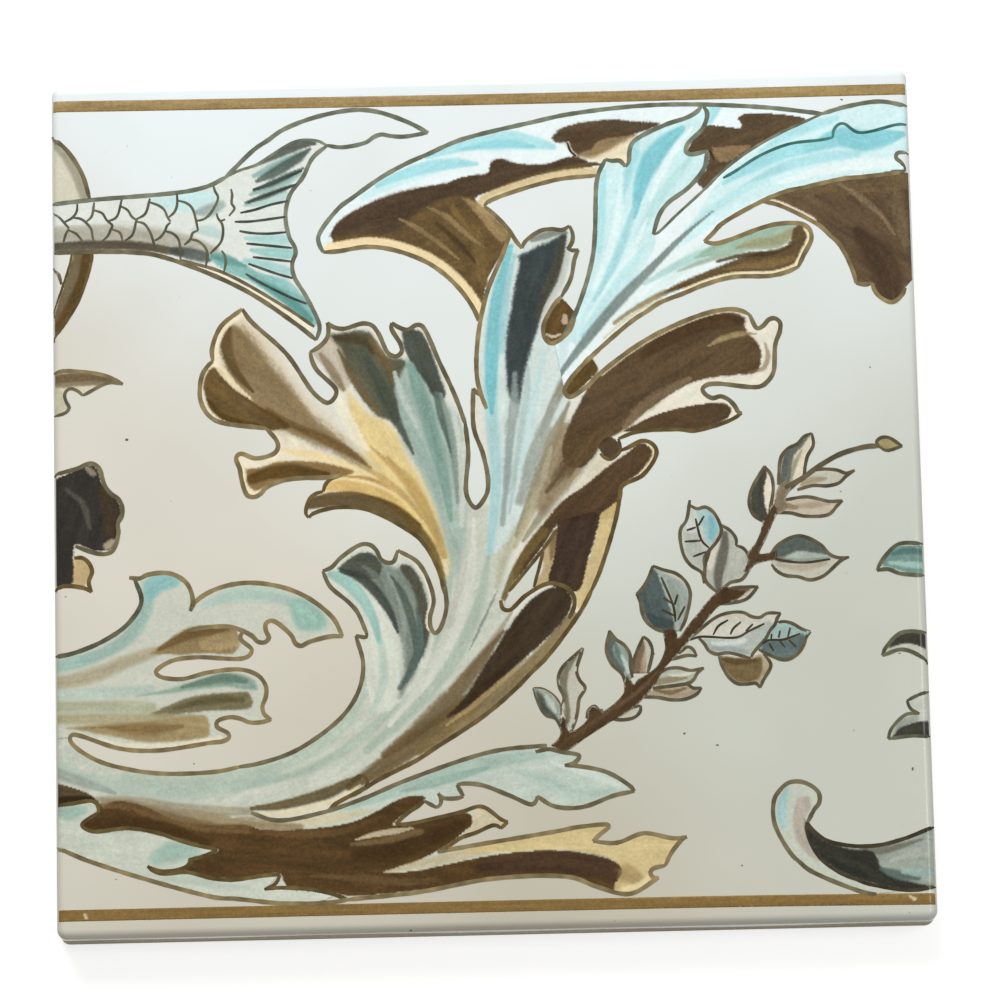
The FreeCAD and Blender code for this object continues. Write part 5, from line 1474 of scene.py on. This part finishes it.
def biscuit_material(colours):
    """Bare pressed earthenware: matt, finely speckled, greyed in patches by old dust."""
    material, tree, shader = new_material("pressed_biscuit")
    place = object_place(tree)
    grain = noise(tree, place, *BISCUIT_GRAIN)
    base = blend_colour(tree, ramp(tree, grain, *BISCUIT_DARK), colours.biscuit, colours.biscuit_dark)
    dust = mottle(tree, place, *BISCUIT_DUST)
    tree.links.new(blend_colour(tree, dust, base, colours.dust), shader.inputs["Base Color"])
    shader.inputs["Roughness"].default_value = BISCUIT_ROUGHNESS
    relief(tree, shader, grain, BISCUIT_RELIEF)
    return material


def ring_points(offset, level, inset=0.0):
    """A ring of points round the tile, grown by the offset from the flat of its face, or set into it."""
    core = HALF - ARRIS_RADIUS - CORNER_EASE - inset
    radius = CORNER_EASE + offset
    ring = []
    for quarter in range(4):
        turn = math.pi / 2 * quarter
        arc = [np.array([core, core]) + radius * np.array([math.cos(a), math.sin(a)])
               for a in np.linspace(0, math.pi / 2, TURN_COUNT + 1)]
        run = [np.array([core - 2 * core * k / SIDE_COUNT, core + radius]) for k in range(1, SIDE_COUNT)]
        spin = np.array([[math.cos(turn), -math.sin(turn)], [math.sin(turn), math.cos(turn)]])
        ring += [spin @ p for p in arc + run]
    return np.column_stack([np.array(ring), np.full(len(ring), level)])


def glaze_skin(sizes):
    """The glaze over the face and its rolled edge, ending in an uneven line down the sides."""
    film, sunk, run = sizes.glaze_film / MM, sizes.glaze_sink / MM, sizes.glaze_run / MM
    outer = ARRIS_RADIUS + film
    rings = [ring_points(0, FACE + film, inset=ARRIS_RADIUS)]
    rings += [ring_points(outer * math.sin(a), FACE - ARRIS_RADIUS + outer * math.cos(a))
              for a in np.linspace(0, math.pi / 2, ROLL_COUNT)]
    hem = ring_points(outer, 0)
    count = len(hem)
    hem[:, 2] = FACE - ARRIS_RADIUS - run * (1 + waves(np.arange(count), HEM_WAVES, 1))
    inner = ring_points(ARRIS_RADIUS - sunk, 0)
    inner[:, 2] = hem[:, 2] + sunk
    rings += [hem, inner, ring_points(0, FACE - sunk)]
    faces = [tuple(range(count))]
    for level in range(len(rings) - 1):
        low, high = level * count, (level + 1) * count
        for k in range(count):
            after = (k + 1) % count
            faces.append((low + k, low + after, high + after, high + k))
    last = (len(rings) - 1) * count
    faces.append(tuple(reversed(range(last, last + count))))
    return plain_mesh("glazed_face", np.vstack(rings), faces)


def enamel_mesh(name, loops, sizes):
    """A painted piece: a thin closed sheet over each of its areas, with its marks as point colours."""
    points, faces = [], []
    total = 0
    for index, loop in enumerate(loops):
        lift = (sizes.enamel_film + index * sizes.film_step) / MM
        sheet, sheet_faces = film_sheet(loop, sizes.paint_pitch / MM, lift, sizes.enamel_sink / MM)
        points.append(sheet)
        faces += [tuple(i + total for i in face) for face in sheet_faces]
        total += len(sheet)
    points = np.vstack(points)
    mesh = plain_mesh(name, points, faces)
    layer = mesh.attributes.new("paint", "FLOAT_COLOR", "POINT")
    layer.data.foreach_set("color", painted(points[:, :2], PAINT[name]).ravel())
    mesh.polygons.foreach_set("use_smooth", [polygon.normal.z > UPWARD for polygon in mesh.polygons])
    return mesh


def band_loop(middle):
    """The outline of a gold band about its middle line."""
    path = clip_to_face(smooth_run(middle, LINE_STEP)[0])
    lift = np.array([0, BAND_HALF])
    return np.vstack([path + lift, (path - lift)[::-1]])


def printed_runs():
    """Every printed run as its path, ink and width."""
    runs = [(path, ink, width) for key, (ink, width, *_) in LINES.items() for path in line_runs(key)]
    for ink, width, *paths in FINE_LINES:
        runs += [(smooth_run(read_points(path), LINE_STEP)[0], ink, width) for path in paths]
    return runs


def path_mesh(runs, sizes):
    """Edges along every printed run, with the ink and the half width on each point."""
    points, edges, inks, halves = [], [], [], []
    total = 0
    for index, (path, ink, width) in enumerate(runs):
        path = clip_to_face(path)
        path = path[np.concatenate([[True], np.linalg.norm(np.diff(path, axis=0), axis=1) > RUN_GAP])]
        along = np.arange(len(path)) * LINE_STEP
        taper = END_WIDTH + (1 - END_WIDTH) * fade(np.minimum(along, along[::-1]) / END_REACH)
        half = width / 2 * (1 + waves(along, WIDTH_WAVES, index)) * taper
        tint = np.clip(to_rgb(INKS[ink]) * (1 + waves(along, INK_WAVES, index))[:, None], 0, 1)
        level = surface_level(path, (sizes.print_film + index * sizes.run_step) / MM)
        points.append(np.column_stack([path, level]))
        edges += [(total + k, total + k + 1) for k in range(len(path) - 1)]
        inks.append(np.column_stack([to_linear(tint), np.ones(len(path))]))
        halves.append(half * MM)
        total += len(path)
    mesh = bpy.data.meshes.new("printed_paths")
    mesh.from_pydata((np.vstack(points) * MM).tolist(), edges, [])
    layer = mesh.attributes.new("ink", "FLOAT_COLOR", "POINT")
    layer.data.foreach_set("color", np.vstack(inks).ravel())
    layer = mesh.attributes.new("half_width", "FLOAT", "POINT")
    layer.data.foreach_set("value", np.concatenate(halves))
    return mesh


def line_tree(material):
    """Geometry nodes that lay a flat ribbon of ink along each path."""
    tree = bpy.data.node_groups.new("printed_line", "GeometryNodeTree")
    tree.interface.new_socket("Geometry", in_out="INPUT", socket_type="NodeSocketGeometry")
    weight = tree.interface.new_socket("Line Weight", in_out="INPUT", socket_type="NodeSocketFloat")
    body = tree.interface.new_socket("Ink Body", in_out="INPUT", socket_type="NodeSocketFloat")
    tree.interface.new_socket("Geometry", in_out="OUTPUT", socket_type="NodeSocketGeometry")
    enter = node(tree, "NodeGroupInput", {}).outputs
    curve = node(tree, "GeometryNodeMeshToCurve", {"Mesh": enter["Geometry"]}).outputs["Curve"]
    upright = node(tree, "GeometryNodeSetCurveNormal", {"Curve": curve}, mode="Z_UP").outputs["Curve"]
    width = node(tree, "GeometryNodeInputNamedAttribute", {"Name": "half_width"}, data_type="FLOAT")
    sizes = {0: width.outputs["Attribute"], 1: enter["Line Weight"]}
    scale = node(tree, "ShaderNodeMath", sizes, operation="MULTIPLY").outputs[0]
    section = {"Width": 2.0, "Height": enter["Ink Body"]}
    profile = node(tree, "GeometryNodeCurvePrimitiveQuadrilateral", section, mode="RECTANGLE")
    outline = profile.outputs["Curve"]
    sweep = {"Curve": upright, "Profile Curve": outline, "Scale": scale, "Fill Caps": True}
    ribbon = node(tree, "GeometryNodeCurveToMesh", sweep).outputs["Mesh"]
    flat = node(tree, "GeometryNodeSetShadeSmooth", {"Geometry": ribbon, "Shade Smooth": False})
    real = node(tree, "GeometryNodeRealizeInstances", {"Geometry": flat.outputs["Geometry"]})
    inked = {"Geometry": real.outputs["Geometry"], "Material": material}
    finish = node(tree, "GeometryNodeSetMaterial", inked)
    node(tree, "NodeGroupOutput", {"Geometry": finish.outputs["Geometry"]})
    return tree, weight.identifier, body.identifier


def add_floor(scene):
    """A white floor that keeps a faint shadow of the tile."""
    mesh = bpy.data.meshes.new("floor")
    corners = [(x * FLOOR_HALF, y * FLOOR_HALF, 0) for x, y in ((-1, -1), (1, -1), (1, 1), (-1, 1))]
    mesh.from_pydata(corners, [], [(0, 1, 2, 3)])
    floor = bpy.data.objects.new("floor", mesh)
    scene.collection.objects.link(floor)
    material, tree, shader = new_material("pale_floor")
    shader.inputs["Base Color"].default_value = FLOOR_COLOUR
    shader.inputs["Roughness"].default_value = 1.0
    shader.inputs["Specular IOR Level"].default_value = 0.0
    shader.inputs["Emission Color"].default_value = GLOW_COLOUR
    rays = node(tree, "ShaderNodeLightPath", {}).outputs
    seen = {0: rays["Is Camera Ray"], 1: rays["Is Glossy Ray"]}
    either = node(tree, "ShaderNodeMath", seen, operation="MAXIMUM").outputs[0]
    glow = ramp(tree, either, 0, 1, 0, FLOOR_GLOW)
    tree.links.new(glow, shader.inputs["Emission Strength"])
    mesh.materials.append(material)


def add_lights(scene):
    world = bpy.data.worlds.new("soft_room")
    world.use_nodes = True
    sky = world.node_tree.nodes["Background"]
    sky.inputs["Color"].default_value = SKY_COLOUR
    sky.inputs["Strength"].default_value = SKY_LEVEL
    scene.world = world
    for name, place, size, power, colour in LAMPS:
        lamp = bpy.data.lights.new(name, "AREA")
        lamp.size = size
        lamp.energy = power
        lamp.color = colour
        holder = bpy.data.objects.new(name, lamp)
        holder.location = place
        holder.rotation_euler = (-Vector(place)).to_track_quat("-Z", "Y").to_euler()
        scene.collection.objects.link(holder)


def add_camera(scene):
    lens = bpy.data.cameras.new("camera")
    lens.lens = CAMERA_LENS
    lens.sensor_width = SENSOR_WIDTH
    camera = bpy.data.objects.new("camera", lens)
    camera.location = CAMERA_PLACE
    camera.rotation_euler = [math.radians(a) for a in CAMERA_TURN]
    scene.collection.objects.link(camera)
    scene.camera = camera


def metres(name, note, value):
    return bpy.props.FloatProperty(name=name, description=note, default=value * MM, unit="LENGTH",
                                   precision=6)


def factor(name, note, value):
    return bpy.props.FloatProperty(name=name, description=note, default=value, subtype="FACTOR")


def swatch(name, note, code):
    colour = (*to_linear(to_rgb(code)), 1.0)
    return bpy.props.FloatVectorProperty(name=name, description=note, default=colour, size=4, subtype="COLOR",
                                         min=0, max=1)


class TileSizes(bpy.types.PropertyGroup):
    """Film thicknesses and spacings of the tile's finish."""
    glaze_film: metres("Glaze", "Thickness of the glaze above the biscuit", 0.06)
    glaze_sink: metres("Glaze sink", "How far the glaze soaks into the biscuit", 0.1)
    glaze_run: metres("Glaze run", "How far the glaze runs down the sides below the rolled edge", 1.6)
    enamel_film: metres("Enamel", "Height of the enamel above the biscuit", 0.08)
    enamel_sink: metres("Enamel sink", "Height of the enamel's underside above the biscuit", 0.02)
    print_film: metres("Print", "Height of the printed lines' middle above the biscuit", 0.09)
    film_step: metres("Film step", "Step between overlapping enamels", 0.002)
    run_step: metres("Run step", "Step between crossing printed lines", 0.0001)
    paint_pitch: metres("Paint pitch", "Spacing of the points that carry the brushed colour", 0.28)
    line_weight: factor("Line weight", "Factor on the width of printed lines", 1.0)
    ink_body: factor("Ink body", "Thickness of a line against its half width", 0.1)


class TileColours(bpy.types.PropertyGroup):
    """Colours of the bare glaze with its painted light and shade, and of the biscuit."""
    # The top colour holds a painted cool light and reflection
    glaze_top_painted_light: swatch("Glaze at the top", "Bare glaze by the upper band", "#E4ECEF")
    glaze_low: swatch("Glaze below", "Bare glaze by the lower band", "#D6DBD4")
    # Painted shade to the lower right and painted warm light to the lower left, multiplied over the glaze
    glaze_painted_shade: swatch("Glaze shade", "Greying of the glaze towards the lower right", "#EDECE8")
    glaze_painted_warm_light: swatch("Glaze warmth", "Warmer glaze towards the lower left", "#FAF0E8")
    glaze_cloud: swatch("Glaze cloud", "Faint clouding of the glaze", "#F6F5F2")
    speck: swatch("Speck", "Iron specks in the glaze", "#6B5F50")
    biscuit: swatch("Biscuit", "Bare pressed body", "#D9CDB6")
    biscuit_dark: swatch("Biscuit grain", "Darker grain of the body", "#C7B899")
    dust: swatch("Dust", "Old dust on the bare body", "#A39886")


class TILE_OT_biscuit(bpy.types.Operator):
    """Give the pressed body its bare biscuit finish"""
    bl_idname = "tile.biscuit"
    bl_label = "Biscuit"

    def execute(self, context):
        body = next(o for o in bpy.data.objects if o.type == "MESH" and o.name.startswith("border_tile"))
        body.data.materials.clear()
        body.data.materials.append(biscuit_material(context.scene.tile_colours))
        return {"FINISHED"}


class TILE_OT_glaze(bpy.types.Operator):
    """Lay the clear glaze over the face and its rolled edge"""
    bl_idname = "tile.glaze"
    bl_label = "Glaze"

    def execute(self, context):
        mesh = glaze_skin(context.scene.tile_sizes)
        mesh.polygons.foreach_set("use_smooth", [True] * len(mesh.polygons))
        add_piece(mesh, glaze_material(context.scene.tile_colours))
        return {"FINISHED"}


class TILE_OT_bands(bpy.types.Operator):
    """Draw the two gold bands"""
    bl_idname = "tile.bands"
    bl_label = "Gold bands"

    def execute(self, context):
        loops = [band_loop(middle) for middle in BANDS.values()]
        mesh = enamel_mesh("border_bands", loops, context.scene.tile_sizes)
        add_piece(mesh, enamel_material(context.scene.tile_colours))
        return {"FINISHED"}


class TILE_OT_enamels(bpy.types.Operator):
    """Brush the tinted enamels of the ornament"""
    bl_idname = "tile.enamels"
    bl_label = "Enamels"

    def execute(self, context):
        material = enamel_material(context.scene.tile_colours)
        for name, areas in AREAS.items():
            loops = [area_loop(parts) for parts in areas]
            add_piece(enamel_mesh(name, loops, context.scene.tile_sizes), material)
        return {"FINISHED"}


class TILE_OT_outlines(bpy.types.Operator):
    """Print the outlines of the ornament"""
    bl_idname = "tile.outlines"
    bl_label = "Printed outlines"

    def execute(self, context):
        sizes = context.scene.tile_sizes
        material = ink_material()
        paths = bpy.data.objects.new("printed_paths", path_mesh(printed_runs(), sizes))
        context.scene.collection.objects.link(paths)
        modifier = paths.modifiers.new("printed_line", "NODES")
        modifier.node_group, weight, body = line_tree(material)
        modifier[weight] = sizes.line_weight
        modifier[body] = sizes.ink_body
        evaluated = paths.evaluated_get(context.evaluated_depsgraph_get())
        mesh = bpy.data.meshes.new_from_object(evaluated)
        mesh.name = "outline_print"
        paths.modifiers.remove(modifier)
        bpy.data.objects.remove(paths)
        turn_outwards(mesh)
        add_piece(mesh, material)
        return {"FINISHED"}


class TILE_OT_stage(bpy.types.Operator):
    """Set the pale floor, the soft lights and the camera"""
    bl_idname = "tile.stage"
    bl_label = "Stage"

    def execute(self, context):
        scene = context.scene
        scene.view_settings.view_transform = "Standard"
        add_floor(scene)
        add_lights(scene)
        add_camera(scene)
        return {"FINISHED"}


OPERATORS = (TILE_OT_biscuit, TILE_OT_glaze, TILE_OT_bands, TILE_OT_enamels, TILE_OT_outlines, TILE_OT_stage)


class TILE_PT_panel(bpy.types.Panel):
    """The tile's finishing steps and their sizes and colours"""
    bl_idname = "TILE_PT_panel"
    bl_label = "Border tile"
    bl_space_type = "VIEW_3D"
    bl_region_type = "UI"
    bl_category = "Tile"

    def draw(self, context):
        for group in (context.scene.tile_sizes, context.scene.tile_colours):
            for name in group.__annotations__:
                self.layout.prop(group, name)
        for operator in OPERATORS:
            self.layout.operator(operator.bl_idname)


CLASSES = (TileSizes, TileColours, *OPERATORS, TILE_PT_panel)


def register():
    for item in CLASSES:
        bpy.utils.register_class(item)
    bpy.types.Scene.tile_sizes = bpy.props.PointerProperty(type=TileSizes)
    bpy.types.Scene.tile_colours = bpy.props.PointerProperty(type=TileColours)


def unregister():
    del bpy.types.Scene.tile_colours
    del bpy.types.Scene.tile_sizes
    for item in reversed(CLASSES):
        bpy.utils.unregister_class(item)


def main():
    register()
    bpy.ops.tile.biscuit()
    bpy.ops.tile.glaze()
    bpy.ops.tile.bands()
    bpy.ops.tile.enamels()
    bpy.ops.tile.outlines()
    bpy.ops.tile.stage()


if __name__ == "__main__":
    main()
